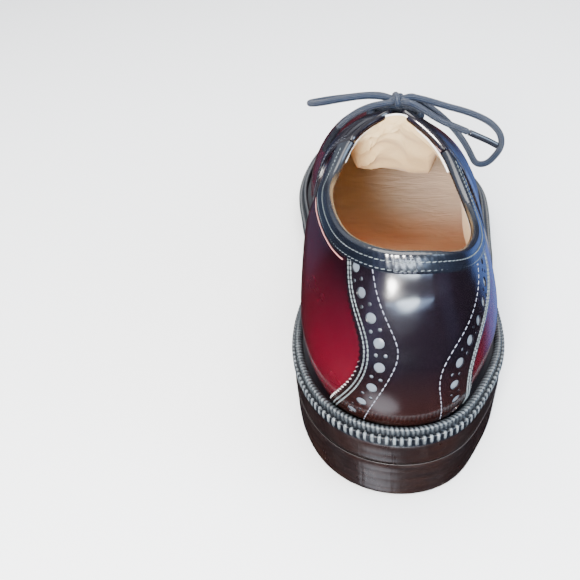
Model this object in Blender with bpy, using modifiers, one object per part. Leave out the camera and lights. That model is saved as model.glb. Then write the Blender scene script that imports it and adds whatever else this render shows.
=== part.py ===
"""A saddle shoe for the right foot, empty and laced, standing on its sole.

Metres, +Z up, +Y from heel to toe, +X to the lateral side. The origin is on the heel's ground
face, under the back of the feather line, which is where the upper meets the welt. The upper's
wall is a family of curves that rise from the feather line to the collar, the facings or the
ridge. Each other piece is cut from that family or follows the same feather line.

A place round the shoe is u: 0 at the back of the heel, 1 at the toe, minus on the medial side.
A place up the wall is v: 0 at the feather line, 1 at the top edge.
"""

import math
from collections import namedtuple

import bmesh
import bpy
import numpy as np
from mathutils import Matrix, Vector

MM = 0.001

# The last
LAST_LENGTH = 284 * MM
BALL_WIDTH = 92 * MM
BACK_HEIGHT = 62.5 * MM
INSTEP_HEIGHT = 76.5 * MM
LATERAL_DIP = 10 * MM

# The bottom
HEEL_HEIGHT = 16.6 * MM
TOE_SPRING = 10 * MM
SOLE_THICKNESS = 9 * MM
WELT_THICKNESS = 3.6 * MM
WELT_AT_HEEL = 6.8 * MM
WELT_AT_BALL = 9 * MM
WAIST_START = 80 * MM
WAIST_END = 180 * MM
RIB_HEIGHT = 3.2 * MM
RIB_THICKNESS = 2.4 * MM
RIB_CROWN = 0.6 * MM
SEAT_FROM_BACK = 36 * MM
FLAT_START = 176 * MM
FLAT_END = 206 * MM
SPRING_POWER = 1.8
HEEL_LENGTH = 78 * MM
BREAST_DEPTH = 5 * MM
HEEL_TAPER = 1 * MM
SOLE_SETBACK = 0.8 * MM
INSOLE_ABOVE_WELT = 2.5 * MM

# The upper and what is sewn on it
WALL = 2.2 * MM
OVERLAY = 1.2 * MM
BINDING_WIDTH = 6 * MM
BINDING_INSIDE = 5 * MM
BINDING_THICKNESS = 1.2 * MM
BINDING_CLEAR = 1 * MM
TONGUE_THICKNESS = 2.4 * MM
TONGUE_HALF_WIDTH = 36 * MM
TONGUE_TAB_HALF_WIDTH = 14 * MM
TONGUE_ABOVE_FACING = 3 * MM
TONGUE_CLEAR = 0.9 * MM
FACINGS_MEET = 3 * MM
GAP = 0.3 * MM
OVERLAY_CLEAR = 0.6 * MM

# The lacing
LACE_DIAMETER = 2.8 * MM
EYELET_DIAMETER = 4.4 * MM
EYELET_INSET = 9 * MM
EYELET_PITCH = 10 * MM
EYELET_FIRST = 7 * MM
EYELET_PAIRS = 5

# How a lace leaves an eyelet: shares of the eyelet's inset, and of the lace's height over the facing
Rise = namedtuple("Rise", "inset lift")
LACE_RISE = (
    Rise(1.00, -0.30),
    Rise(1.00, 0.40),
    Rise(0.93, 0.92),
    Rise(0.72, 1.08),
    Rise(0.45, 1.04),
    Rise(0.00, 1.02),
)

# The bow in millimetres: its knot, where the leads reach it, and the route of each loop and end
KNOT = (0.5, 120, 99.8)
KNOT_HALF = (4.4, 4.2, 3.2)
KNOT_SEGMENTS = 12
KNOT_RINGS = 8
LEAD_ENDS = {-1: (-5.6, 121.2, 97.6), 1: (6.6, 121.2, 97.4)}
BOW_ROUTES = {
    "bow_loop_medial": (
        (-4.6, 119.6, 101.2), (-9.6, 119.2, 102.2), (-14.4, 119.0, 102.2), (-19.4, 119.0, 101.6),
        (-24.4, 119.2, 100.8), (-29.2, 119.8, 99.8), (-33.4, 121.0, 98.8), (-36.2, 123.0, 98.0),
        (-36.6, 125.6, 97.4), (-34.2, 127.6, 97.2), (-29.8, 128.4, 97.6), (-24.8, 128.4, 98.2),
        (-19.8, 128.0, 98.8), (-14.8, 127.2, 99.6), (-10.0, 126.0, 100.2), (-5.6, 124.2, 100.6),
    ),
    "bow_loop_lateral": (
        (6.2, 119.4, 101.2), (10.0, 119.2, 100.6), (15.4, 119.5, 98.9), (22.0, 120.0, 96.6),
        (28.4, 120.8, 94.4), (34.4, 121.6, 91.8), (39.6, 122.6, 88.6), (43.6, 124.0, 84.5),
        (45.9, 125.3, 79.8), (46.0, 126.4, 75.0), (43.8, 127.0, 70.6), (40.4, 127.3, 67.4),
        (36.9, 127.5, 67.4), (34.4, 127.7, 70.6), (32.0, 127.7, 75.0), (29.0, 127.6, 79.6),
        (25.2, 127.3, 84.4), (20.8, 126.9, 89.0), (16.0, 126.3, 93.2), (11.2, 125.4, 97.0),
        (6.8, 124.0, 100.0),
    ),
    "bow_end_medial": (
        (-5.4, 116.0, 99.8), (-8.8, 116.8, 99.0), (-12.6, 118.2, 97.3), (-16.0, 120.2, 95.0),
        (-19.1, 122.1, 92.3), (-22.0, 123.9, 89.2), (-24.6, 125.4, 85.8), (-27.0, 126.8, 82.0),
        (-29.2, 128.0, 78.0), (-31.2, 129.0, 73.8),
    ),
    "bow_end_lateral": (
        (6.4, 116.0, 99.6), (9.6, 116.2, 97.9), (12.9, 116.8, 95.6), (16.7, 117.8, 92.8),
        (21.0, 119.0, 90.0), (26.0, 120.2, 87.4), (31.0, 121.2, 84.8), (36.0, 122.0, 82.2),
        (40.4, 122.8, 79.8), (44.0, 123.4, 77.6),
    ),
}

# Where the overlays end: a share of the way up the wall, and the u there on each side
Edge = namedtuple("Edge", "v medial lateral")
COUNTER_EDGE = (
    Edge(0.00, 0.134, 0.146),
    Edge(0.06, 0.121, 0.140),
    Edge(0.22, 0.089, 0.122),
    Edge(0.40, 0.068, 0.134),
    Edge(0.54, 0.073, 0.174),
    Edge(0.65, 0.093, 0.210),
    Edge(0.77, 0.122, 0.238),
    Edge(0.90, 0.146, 0.252),
    Edge(1.00, 0.158, 0.256),
)
SADDLE_BACK_EDGE = (
    Edge(0.00, 0.325, 0.325),
    Edge(0.25, 0.340, 0.340),
    Edge(0.45, 0.367, 0.367),
    Edge(0.62, 0.404, 0.404),
    Edge(0.80, 0.428, 0.428),
    Edge(1.00, 0.440, 0.440),
)
SADDLE_FRONT_EDGE = (
    Edge(0.00, 0.585, 0.595),
    Edge(0.35, 0.575, 0.582),
    Edge(0.70, 0.578, 0.580),
    Edge(1.00, 0.590, 0.590),
)

# Each section is one curve up the wall. at and top_at are shares of LAST_LENGTH, the widths,
# the ridge, the bulge at the foot and the flare under the top edge of BALL_WIDTH, back, instep
# and dip of their heights, and rise and drop of the curve's own height.
Section = namedtuple(
    "Section",
    "at medial lateral top_at back instep dip ridge open_m open_l rise bulge flare_m flare_l drop_m drop_l",
)
SECTIONS = [Section(*row) for row in (
    (0.000, 0.000, 0.000, 0.028, 1.000, 0.000, 0.00, 0.00, 0.000, 0.000, 0.40, 0.130, 0.04, 0.04, 0.33, 0.33),
    (0.028, 0.210, 0.196, 0.042, 0.997, 0.000, 0.20, 0.00, 0.120, 0.135, 0.40, 0.120, 0.04, 0.04, 0.33, 0.33),
    (0.070, 0.300, 0.276, 0.078, 0.968, 0.000, 0.55, 0.00, 0.196, 0.212, 0.40, 0.105, 0.05, 0.05, 0.33, 0.33),
    (0.145, 0.364, 0.366, 0.157, 0.912, 0.000, 0.95, 0.00, 0.261, 0.288, 0.40, 0.080, 0.08, 0.06, 0.30, 0.30),
    (0.260, 0.364, 0.394, 0.260, 0.620, 0.212, 1.00, 0.00, 0.288, 0.308, 0.42, 0.060, 0.14, 0.08, 0.20, 0.24),
    (0.370, 0.348, 0.418, 0.336, 0.220, 0.611, 0.50, 0.00, 0.245, 0.255, 0.44, 0.050, 0.21, 0.10, 0.10, 0.15),
    (0.430, 0.365, 0.445, 0.375, 0.040, 0.902, 0.40, 0.00, 0.152, 0.163, 0.44, 0.044, 0.28, 0.14, 0.09, 0.12),
    (0.470, 0.378, 0.460, 0.396, 0.000, 1.000, 0.05, 0.00, 0.048, 0.048, 0.44, 0.036, 0.31, 0.21, 0.08, 0.12),
    (0.520, 0.395, 0.475, 0.438, 0.000, 0.960, 0.00, 0.00, 0.038, 0.038, 0.43, 0.030, 0.30, 0.25, 0.08, 0.12),
    (0.590, 0.423, 0.497, 0.512, 0.000, 0.880, 0.00, 0.00, 0.030, 0.030, 0.42, 0.026, 0.28, 0.28, 0.08, 0.10),
    (0.662, 0.460, 0.516, 0.580, 0.000, 0.800, 0.00, -0.01, 0.000, 0.000, 0.42, 0.024, 0.28, 0.28, 0.05, 0.06),
    (0.740, 0.485, 0.515, 0.642, 0.000, 0.720, 0.00, -0.02, 0.000, 0.000, 0.44, 0.026, 0.28, 0.28, 0.03, 0.03),
    (0.830, 0.462, 0.440, 0.715, 0.000, 0.625, 0.00, -0.03, 0.000, 0.000, 0.48, 0.028, 0.28, 0.26, 0.02, 0.02),
    (0.920, 0.380, 0.302, 0.782, 0.000, 0.540, 0.00, -0.04, 0.000, 0.000, 0.54, 0.028, 0.28, 0.25, 0.04, 0.04),
    (0.975, 0.266, 0.151, 0.822, 0.000, 0.490, 0.00, -0.05, 0.000, 0.000, 0.58, 0.028, 0.28, 0.27, 0.10, 0.10),
    (1.000, 0.059, -0.059, 0.836, 0.000, 0.470, 0.00, -0.05, 0.000, 0.000, 0.60, 0.028, 0.28, 0.28, 0.14, 0.14),
)]
THROAT_AT = 0.662
FACING_AT = 0.470
TONGUE_FRONT_AT = 0.700

# How finely each piece is cut: how many columns up to each u, heel to toe, and rows up the wall
COLUMNS = ((0.00, 0.30, 11), (0.30, 0.50, 12), (0.50, 0.62, 6), (0.62, 1.00, 8))
ROWS = 10
ROW_POWER = 1.35
TONGUE_CORNER = 0.06
TONGUE_DIP_ROWS = 2
COUNTER_COLUMNS = 25
SADDLE_COLUMNS = 12
HEEL_ACROSS = 7
TONGUE_ACROSS = 15
TONGUE_ALONG = 9
EYELET_SIDES = 10
LACE_STEP = 3.4 * MM
BOW_STEP = 4.2 * MM
ARCH_FROM = 0.3
ARCH_KNOTS = 9
FOOT_SHARE = 0.01
WALK_STEPS = 61
EDGE_STEP = 1e-4
WELD = 1e-6
SHARP_ANGLE = 40


def turn(at):
    """The u of a share of the last's length."""
    return math.acos(1 - 2 * at) / math.pi


class Ring:
    """A smooth closed curve of one value round the shoe, through (u, value) knots."""

    def __init__(self, knots):
        knots = sorted(knots)
        self.at = np.array([k for k, _ in knots])
        self.value = np.array([v for _, v in knots])
        count = len(knots)
        self.step = np.diff(np.append(self.at, self.at[0] + 2))
        slope = np.diff(np.append(self.value, self.value[0])) / self.step
        system = np.zeros((count, count))
        change = np.zeros(count)
        for i in range(count):
            system[i, i - 1] += self.step[i - 1]
            system[i, i] += 2 * (self.step[i - 1] + self.step[i])
            system[i, (i + 1) % count] += self.step[i]
            change[i] = 6 * (slope[i] - slope[i - 1])
        self.bend = np.linalg.solve(system, change)

    def __call__(self, u):
        u = (np.asarray(u, float) + 1) % 2 - 1
        i = np.searchsorted(self.at, u, side="right") - 1
        after = (i + 1) % len(self.at)
        step = self.step[i]
        far = (u - self.at[i]) / step
        near = 1 - far
        return (
            near * self.value[i]
            + far * self.value[after]
            + ((near**3 - near) * self.bend[i] + (far**3 - far) * self.bend[after]) * step**2 / 6
        )


class Run:
    """A smooth open curve of one value, through (place, value) knots."""

    def __init__(self, knots):
        knots = sorted(knots)
        self.at = np.array([k for k, _ in knots])
        self.value = np.array([v for _, v in knots])
        count = len(knots)
        self.step = np.diff(self.at)
        slope = np.diff(self.value) / self.step
        system = np.eye(count)
        change = np.zeros(count)
        for i in range(1, count - 1):
            system[i, i - 1] = self.step[i - 1]
            system[i, i] = 2 * (self.step[i - 1] + self.step[i])
            system[i, i + 1] = self.step[i]
            change[i] = 6 * (slope[i] - slope[i - 1])
        self.bend = np.linalg.solve(system, change)

    def __call__(self, place):
        place = np.clip(np.asarray(place, float), self.at[0], self.at[-1])
        i = np.clip(np.searchsorted(self.at, place, side="right") - 1, 0, len(self.step) - 1)
        step = self.step[i]
        far = (place - self.at[i]) / step
        near = 1 - far
        return (
            near * self.value[i]
            + far * self.value[i + 1]
            + ((near**3 - near) * self.bend[i] + (far**3 - far) * self.bend[i + 1]) * step**2 / 6
        )


def ring_of(medial, lateral=None):
    """A Ring through one column of the table, or through one for each side."""
    lateral = lateral or medial
    knots = [(-turn(s.at), getattr(s, medial)) for s in SECTIONS]
    knots += [(turn(s.at), getattr(s, lateral)) for s in SECTIONS[1:-1]]
    return Ring(knots)


def signed_ring():
    knots = [(-turn(s.at), -s.medial) for s in SECTIONS]
    knots += [(turn(s.at), s.lateral) for s in SECTIONS[1:-1]]
    return Ring(knots)


def signed_opening():
    rows = [s for s in SECTIONS if s.at <= THROAT_AT]
    knots = [(-turn(s.at), -s.open_m) for s in rows]
    knots += [(turn(s.at), s.open_l) for s in rows[1:]]
    return Run(knots)


OUTLINE = signed_ring()
OPENING = signed_opening()
RINGS = ("top_at", "back", "instep", "dip", "ridge", "rise", "bulge")
COLUMN = {name: ring_of(name) for name in RINGS}
COLUMN["flare"] = ring_of("flare_m", "flare_l")
COLUMN["drop"] = ring_of("drop_m", "drop_l")
THROAT_U = turn(THROAT_AT)
FACING_U = turn(FACING_AT)
TONGUE_FRONT_U = turn(TONGUE_FRONT_AT)


def smooth_step(t):
    t = np.clip(t, 0, 1)
    return t * t * (3 - 2 * t)


def sole_rise(y):
    """How far the bottom of the outsole is above the floor: the heel, the flat tread and the toe spring."""
    heel = HEEL_HEIGHT * smooth_step((FLAT_START - y) / (FLAT_START - SEAT_FROM_BACK))
    to_tip = (y - FLAT_END) / (LAST_LENGTH + WELT_AT_BALL - FLAT_END)
    return heel + TOE_SPRING * np.clip(to_tip, 0, None) ** SPRING_POWER


def welt_base(y):
    return sole_rise(y) + SOLE_THICKNESS + GAP


def welt_top(y):
    return welt_base(y) + WELT_THICKNESS


def feather_height(y):
    """The height at which the upper starts."""
    return welt_top(y) + GAP


def feather(u):
    """Points of the feather line in plan."""
    u = np.asarray(u, float)
    return np.stack([OUTLINE(u) * BALL_WIDTH, LAST_LENGTH * (1 - np.cos(np.pi * u)) / 2], axis=-1)


def outward(u):
    """The feather line's outward direction in plan."""
    ahead, behind = feather(np.asarray(u) + EDGE_STEP), feather(np.asarray(u) - EDGE_STEP)
    along = ahead - behind
    along = along / np.linalg.norm(along, axis=-1, keepdims=True)
    return np.stack([along[..., 1], -along[..., 0]], axis=-1)


def wall(u, v):
    """A point of the upper's outer face."""
    u, v = np.broadcast_arrays(np.asarray(u, float), np.asarray(v, float))
    plan = feather(u)
    base = np.concatenate([plan, feather_height(plan[..., 1:])], axis=-1)
    top_y = COLUMN["top_at"](u) * LAST_LENGTH
    opening = np.where(np.abs(u) < THROAT_U, OPENING(u), 0)
    top_x = (COLUMN["ridge"](u) + opening) * BALL_WIDTH
    top_z = (
        feather_height(top_y)
        + COLUMN["back"](u) * BACK_HEIGHT
        + COLUMN["instep"](u) * INSTEP_HEIGHT
        - COLUMN["dip"](u) * np.where(u > 0, LATERAL_DIP, 0)
    )
    top = np.stack([top_x, top_y, top_z], axis=-1)
    height = (top - base)[..., 2]
    span = (base - top)[..., :2]
    span = span / np.linalg.norm(span, axis=-1, keepdims=True)
    out = outward(u)
    low = base.copy()
    low[..., :2] += out * (COLUMN["bulge"](u) * BALL_WIDTH)[..., None]
    low[..., 2] += COLUMN["rise"](u) * height
    high = top.copy()
    high[..., :2] += span * (COLUMN["flare"](u) * BALL_WIDTH)[..., None]
    high[..., 2] -= COLUMN["drop"](u) * height
    v = v[..., None]
    return (1 - v) ** 3 * base + 3 * (1 - v) ** 2 * v * low + 3 * (1 - v) * v**2 * high + v**3 * top


def normal(u, v):
    """The outward normal of the upper's outer face."""
    u, v = np.broadcast_arrays(np.asarray(u, float), np.asarray(v, float))
    low, high = np.clip(v - EDGE_STEP, 0, 1), np.clip(v + EDGE_STEP, 0, 1)
    along = wall(u + EDGE_STEP, v) - wall(u - EDGE_STEP, v)
    up = wall(u, high) - wall(u, low)
    across = np.cross(along, up)
    return across / np.linalg.norm(across, axis=-1, keepdims=True)


def skin(u, v, lift):
    """A point at a distance outside the upper's outer face, or inside it where lift is minus."""
    return wall(u, v) + normal(u, v) * lift


def below_edge(u, distance):
    """The v at a distance down the wall from its top edge."""
    v = np.linspace(1, 0, WALK_STEPS)
    steps = np.linalg.norm(np.diff(wall(np.full_like(v, u), v), axis=0), axis=-1)
    return float(np.interp(distance, np.append(0, np.cumsum(steps)), v))


def lean(u):
    """How far the wall leans out for each unit that it rises at its foot."""
    u = np.asarray(u, float)
    step = wall(u, 2 * FOOT_SHARE) - wall(u, FOOT_SHARE)
    away = np.sum(step[..., :2] * outward(u), axis=-1)
    return np.clip(away / step[..., 2], 0, None)


def above_welt(u):
    """The v at which an overlay starts, high enough for its lower edge to clear the welt."""
    v = np.linspace(0, ARCH_FROM, WALK_STEPS)
    line = wall(np.full_like(v, u), v)
    return float(np.interp((OVERLAY_CLEAR + OVERLAY) * lean(u), line[:, 2] - line[0, 2], v))


def edge_curve(rows, side):
    """The u of an overlay's edge on one side, for any v."""
    return Run([(row.v, getattr(row, side)) for row in rows])


def columns(low=-1.0, high=1.0):
    """The u of each column of a mesh between two limits, closer together where the top edge bends."""
    half = [np.linspace(start, end, count, endpoint=False) for start, end, count in COLUMNS]
    half = np.append(np.concatenate(half), 1.0)
    whole = np.concatenate([-half[:0:-1], half])
    inner = whole[(whole > low + WELD) & (whole < high - WELD)]
    return np.concatenate([[low], inner, [high]])


def rows_up():
    """The v of each row of a mesh, closer together under the top edge."""
    return 1 - (1 - np.linspace(0, 1, ROWS)) ** ROW_POWER


def material(name, color, roughness, metallic=0.0):
    made = bpy.data.materials.new(name)
    made.use_nodes = True
    shader = made.node_tree.nodes["Principled BSDF"]
    shader.inputs["Base Color"].default_value = (*color, 1.0)
    shader.inputs["Roughness"].default_value = roughness
    shader.inputs["Metallic"].default_value = metallic
    return made


def place(name, mesh, finish, home):
    """Adds a mesh to the scene as a named, smooth object."""
    thing = bpy.data.objects.new(name, mesh)
    home.objects.link(thing)
    if finish:
        mesh.materials.append(finish)
    for face in mesh.polygons:
        face.use_smooth = True
    mesh.set_sharp_from_angle(angle=math.radians(SHARP_ANGLE))
    return thing


def sheet_mesh(name, points):
    """A mesh of quads through a grid of points, its first index running round the shoe."""
    count, rows = points.shape[:2]
    form = bmesh.new()
    corners = [[form.verts.new(points[i, j]) for j in range(rows)] for i in range(count)]
    for i in range(count - 1):
        for j in range(rows - 1):
            form.faces.new((corners[i][j], corners[i + 1][j], corners[i + 1][j + 1], corners[i][j + 1]))
    bmesh.ops.remove_doubles(form, verts=form.verts, dist=WELD)
    mesh = bpy.data.meshes.new(name)
    form.to_mesh(mesh)
    form.free()
    return mesh


def thicken(thing, thickness, outside):
    solid = thing.modifiers.new("Wall", "SOLIDIFY")
    solid.thickness = thickness
    solid.offset = 1 if outside else -1
    solid.use_even_offset = True
    solid.use_quality_normals = True
    return solid


def cut(thing, cutter):
    hole = thing.modifiers.new("Cut", "BOOLEAN")
    hole.operation = "DIFFERENCE"
    hole.solver = "EXACT"
    hole.object = cutter


def loop_mesh(name, rings):
    """A closed body lofted round a ring of closed sections."""
    form = bmesh.new()
    corners = [[form.verts.new(point) for point in ring] for ring in rings]
    count, size = len(rings), len(rings[0])
    for i in range(count):
        ahead = (i + 1) % count
        for j in range(size):
            up = (j + 1) % size
            form.faces.new((corners[i][j], corners[ahead][j], corners[ahead][up], corners[i][up]))
    bmesh.ops.recalc_face_normals(form, faces=form.faces)
    mesh = bpy.data.meshes.new(name)
    form.to_mesh(mesh)
    form.free()
    return mesh


def plate_mesh(name, low, high):
    """A closed body between two grids of points, whose first or last rows may close to a point."""
    form = bmesh.new()
    decks = [[[form.verts.new(point) for point in row] for row in grid] for grid in (low, high)]
    rows, across = len(low), len(low[0])
    for deck in decks:
        for i in range(rows - 1):
            for j in range(across - 1):
                form.faces.new((deck[i][j], deck[i][j + 1], deck[i + 1][j + 1], deck[i + 1][j]))
    under, over = decks
    for i in range(rows - 1):
        for j in (0, across - 1):
            form.faces.new((under[i][j], under[i + 1][j], over[i + 1][j], over[i][j]))
    for j in range(across - 1):
        for i in (0, rows - 1):
            if (low[i][0] - low[i][-1]).any():
                form.faces.new((under[i][j], under[i][j + 1], over[i][j + 1], over[i][j]))
    bmesh.ops.remove_doubles(form, verts=form.verts, dist=WELD)
    bmesh.ops.recalc_face_normals(form, faces=form.faces)
    mesh = bpy.data.meshes.new(name)
    form.to_mesh(mesh)
    form.free()
    return mesh


def welt_reach(u):
    """How far the welt and the sole stand out from the feather line."""
    share = smooth_step((feather(u)[..., 1] - WAIST_START) / (WAIST_END - WAIST_START))
    return WELT_AT_HEEL + (WELT_AT_BALL - WELT_AT_HEEL) * share


def outline(u, reach, height, lift=0.0):
    """The points of a line that runs round the shoe at a distance outside the feather line."""
    plan = feather(u) + outward(u) * np.broadcast_to(reach, np.shape(u))[..., None]
    return np.concatenate([plan, (height(plan[:, 1]) + lift)[:, None]], axis=1)


def build_welt(finish, home):
    u = columns()[:-1]
    reach = welt_reach(u)
    inner = OVERLAY_CLEAR + OVERLAY + 2 * GAP
    slope = lean(u) * RIB_HEIGHT
    lines = [
        outline(u, -WALL - GAP, welt_base),
        outline(u, reach, welt_base),
        outline(u, reach, welt_top),
        outline(u, inner + RIB_THICKNESS, welt_top),
        outline(u, inner + slope + RIB_THICKNESS, welt_top, RIB_HEIGHT - RIB_CROWN),
        outline(u, inner + slope, welt_top, RIB_HEIGHT),
        outline(u, inner, welt_top),
        outline(u, -WALL - GAP, welt_top),
    ]
    place("welt", loop_mesh("welt", np.stack(lines, axis=1)), finish, home)


def deck(u, reach, height, lift=0.0, across=2, hollow=0.0):
    """A grid across the shoe at a distance outside the feather line, its far row hollowed."""
    medial, lateral = outline(-u, reach, height), outline(u, reach, height)
    share = np.linspace(0, 1, across)[None, :, None]
    grid = medial[:, None] * (1 - share) + lateral[:, None] * share
    depth = hollow * (u / u[-1])[:, None] ** 3 * (1 - (2 * share[..., 0] - 1) ** 2)
    grid[..., 1] -= depth
    grid[..., 2] = height(grid[..., 1]) + lift
    return grid


def floor_level(y):
    return np.zeros_like(y)


def build_outsole(finish, home):
    u = columns(0.0, 1.0)
    reach = welt_reach(u) - SOLE_SETBACK
    low, high = deck(u, reach, sole_rise), deck(u, reach, sole_rise, SOLE_THICKNESS)
    place("outsole", plate_mesh("outsole", low, high), finish, home)


def build_insole(finish, home):
    u = columns(0.0, 1.0)
    inside = -WALL - 2 * GAP
    low, high = deck(u, inside, welt_base), deck(u, inside, feather_height, INSOLE_ABOVE_WELT)
    place("insole", plate_mesh("insole", low, high), finish, home)


def build_heel(finish, home):
    u = columns(0.0, turn(HEEL_LENGTH / LAST_LENGTH))
    reach = welt_reach(u) - SOLE_SETBACK
    low = deck(u, reach - HEEL_TAPER, floor_level, 0.0, HEEL_ACROSS, BREAST_DEPTH)
    high = deck(u, reach, sole_rise, -GAP, HEEL_ACROSS, BREAST_DEPTH)
    place("heel", plate_mesh("heel", low, high), finish, home)


def build_upper(finish, cutters, home):
    u = columns()
    points = wall(u[:, None], rows_up()[None, :])
    far = np.abs(u) >= THROAT_U
    points[far, -1, 0] = COLUMN["ridge"](np.abs(u[far])) * BALL_WIDTH
    upper = place("upper", sheet_mesh("upper", points), finish, home)
    thicken(upper, WALL, outside=False)
    for cutter in cutters:
        cut(upper, cutter)
    return upper


def patch(low_edge, high_edge, low_v, high_v, count, lift):
    """A grid on the upper between two edges, each a function of v that gives u."""
    v = rows_up()
    grid = np.zeros((count, ROWS, 3))
    for i, share in enumerate(np.linspace(0, 1, count)):
        for j, part in enumerate(v):
            middle = low_edge(part) * (1 - share) + high_edge(part) * share
            bottom, top = low_v(middle), high_v(middle)
            grid[i, j] = skin(middle, bottom + (top - bottom) * part, lift)
    return grid


def build_counter(finish, home):
    medial = edge_curve(COUNTER_EDGE, "medial")
    lateral = edge_curve(COUNTER_EDGE, "lateral")
    grid = patch(
        lambda v: -medial(v),
        lateral,
        above_welt,
        lambda u: below_edge(u, BINDING_WIDTH + GAP),
        COUNTER_COLUMNS,
        OVERLAY_CLEAR,
    )
    counter = place("counter", sheet_mesh("counter", grid), finish, home)
    thicken(counter, OVERLAY, outside=True)


def build_saddle(side, finish, cutter, home):
    back = edge_curve(SADDLE_BACK_EDGE, side)
    front = edge_curve(SADDLE_FRONT_EDGE, side)
    if side == "medial":
        edges = (lambda v: -front(v), lambda v: -back(v))
    else:
        edges = (back, front)
    grid = patch(*edges, above_welt, lambda u: 1.0, SADDLE_COLUMNS, OVERLAY_CLEAR)
    name = "saddle_" + side
    saddle = place(name, sheet_mesh(name, grid), finish, home)
    thicken(saddle, OVERLAY, outside=True)
    cut(saddle, cutter)


def binding_end(side, sign):
    """The u where the binding stops, a little short of the saddle all the way down its width."""
    edge = edge_curve(SADDLE_BACK_EDGE, side)
    lowest = below_edge(sign * edge(1.0), BINDING_WIDTH)
    u = sign * min(edge(1.0), edge(lowest))
    pace = np.linalg.norm(wall(u + EDGE_STEP, 1.0) - wall(u, 1.0)) / EDGE_STEP
    return u - sign * BINDING_CLEAR / pace


def build_binding(finish, home):
    """The strip that folds over the collar, from one saddle to the other."""
    grid = []
    for u in columns(binding_end("medial", -1), binding_end("lateral", 1)):
        down_outside = [below_edge(u, share * BINDING_WIDTH) for share in (1.0, 0.5)]
        down_inside = [below_edge(u, share * BINDING_INSIDE) for share in (0.5, 1.0)]
        outside = [skin(u, v, OVERLAY_CLEAR) for v in down_outside]
        inside = [skin(u, v, -WALL - OVERLAY_CLEAR) for v in down_inside]
        top, out = wall(u, 1.0), normal(u, 1.0)
        up = top - wall(u, 1 - EDGE_STEP)
        up *= GAP / np.linalg.norm(up)
        rim = [top + up + out * OVERLAY_CLEAR, top + up - out * (WALL + OVERLAY_CLEAR)]
        grid.append(outside + rim + inside)
    binding = place("collar_binding", sheet_mesh("collar_binding", np.array(grid)), finish, home)
    thicken(binding, BINDING_THICKNESS, outside=True)


def arch(u, across):
    """A point of the upper's outer face carried smoothly over the gap between the facings."""
    v = np.linspace(ARCH_FROM, 1.0, ARCH_KNOTS)
    knots = np.concatenate([wall(np.full_like(v, -u), v), wall(np.full_like(v, u), v)[::-1]])
    apart = np.linalg.norm(knots[len(v)] - knots[len(v) - 1])
    if apart < FACINGS_MEET:
        knots = np.delete(knots, [len(v) - 1], axis=0)
    along = np.append(0, np.cumsum(np.linalg.norm(np.diff(knots, axis=0), axis=1)))
    near = len(v) - 1
    middle = along[near] if apart < FACINGS_MEET else (along[near] + along[near + 1]) / 2
    return np.stack([Run(list(zip(along - middle, knots[:, axis])))(across) for axis in range(3)], axis=-1)


def build_tongue(finish, home):
    across = np.linspace(-TONGUE_HALF_WIDTH, TONGUE_HALF_WIDTH, TONGUE_ACROSS)
    stations = np.linspace(TONGUE_FRONT_U, FACING_U, TONGUE_ALONG)
    face = np.array([arch(u, across) for u in stations])
    beyond = face[-1] - face[-2]
    beyond /= np.linalg.norm(beyond, axis=-1, keepdims=True)
    crown = np.clip(1 - (across / TONGUE_TAB_HALF_WIDTH) ** 2, TONGUE_CORNER, 1)[:, None]
    extra = [face[-1] + beyond * crown * TONGUE_ABOVE_FACING * share for share in (0.5, 1.0)]
    face = np.concatenate([face, extra])
    along, side = np.gradient(face, axis=0), np.gradient(face, axis=1)
    out = np.cross(side, along)
    out /= np.linalg.norm(out, axis=-1, keepdims=True)
    out *= np.sign(out[..., 2:])
    row = np.arange(len(face))
    dip = smooth_step((row - TONGUE_ALONG + TONGUE_DIP_ROWS) / TONGUE_DIP_ROWS)
    face = face - out * (WALL + TONGUE_CLEAR * (1 + dip))[:, None, None]
    tongue = place("tongue", sheet_mesh("tongue", face), finish, home)
    thicken(tongue, TONGUE_THICKNESS, outside=False)


def facing_u(distance, side):
    """The u at a distance forward along the edge of a facing, side being 1 or -1."""
    u = np.linspace(FACING_U, THROAT_U, WALK_STEPS)
    steps = np.linalg.norm(np.diff(wall(side * u, np.ones_like(u)), axis=0), axis=-1)
    return side * float(np.interp(distance, np.append(0, np.cumsum(steps)), u))


def eyelet_u(pair, side):
    return facing_u(EYELET_FIRST + pair * EYELET_PITCH, side)


def on_facing(u, inset, lift):
    return skin(u, below_edge(u, inset), lift)


def build_eyelet_cutter(side, home):
    """All the eyelet holes of one facing, as one cutter."""
    form = bmesh.new()
    for pair in range(EYELET_PAIRS):
        u = eyelet_u(pair, side)
        axis = Vector(normal(u, below_edge(u, EYELET_INSET)))
        turned = axis.to_track_quat("Z", "Y").to_matrix().to_4x4()
        centre = Matrix.Translation(Vector(on_facing(u, EYELET_INSET, 0.0)))
        bmesh.ops.create_cone(
            form,
            cap_ends=True,
            segments=EYELET_SIDES,
            radius1=EYELET_DIAMETER / 2,
            radius2=EYELET_DIAMETER / 2,
            depth=4 * (WALL + OVERLAY),
            matrix=centre @ turned,
        )
    name = "cutter_lateral" if side > 0 else "cutter_medial"
    mesh = bpy.data.meshes.new(name)
    form.to_mesh(mesh)
    form.free()
    cutter = bpy.data.objects.new(name, mesh)
    cutter.hide_render = True
    cutter.display_type = "WIRE"
    home.objects.link(cutter)
    return cutter


def tube(name, points, diameter, finish, home):
    """A round cord along a list of points."""
    curve = bpy.data.curves.new(name, "CURVE")
    curve.dimensions = "3D"
    curve.bevel_depth = diameter / 2
    curve.bevel_resolution = 2
    curve.use_fill_caps = True
    line = curve.splines.new("POLY")
    line.points.add(len(points) - 1)
    for spot, point in zip(line.points, points):
        spot.co = (*point, 1.0)
    thing = bpy.data.objects.new(name, curve)
    home.objects.link(thing)
    curve.materials.append(finish)
    return thing


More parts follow.
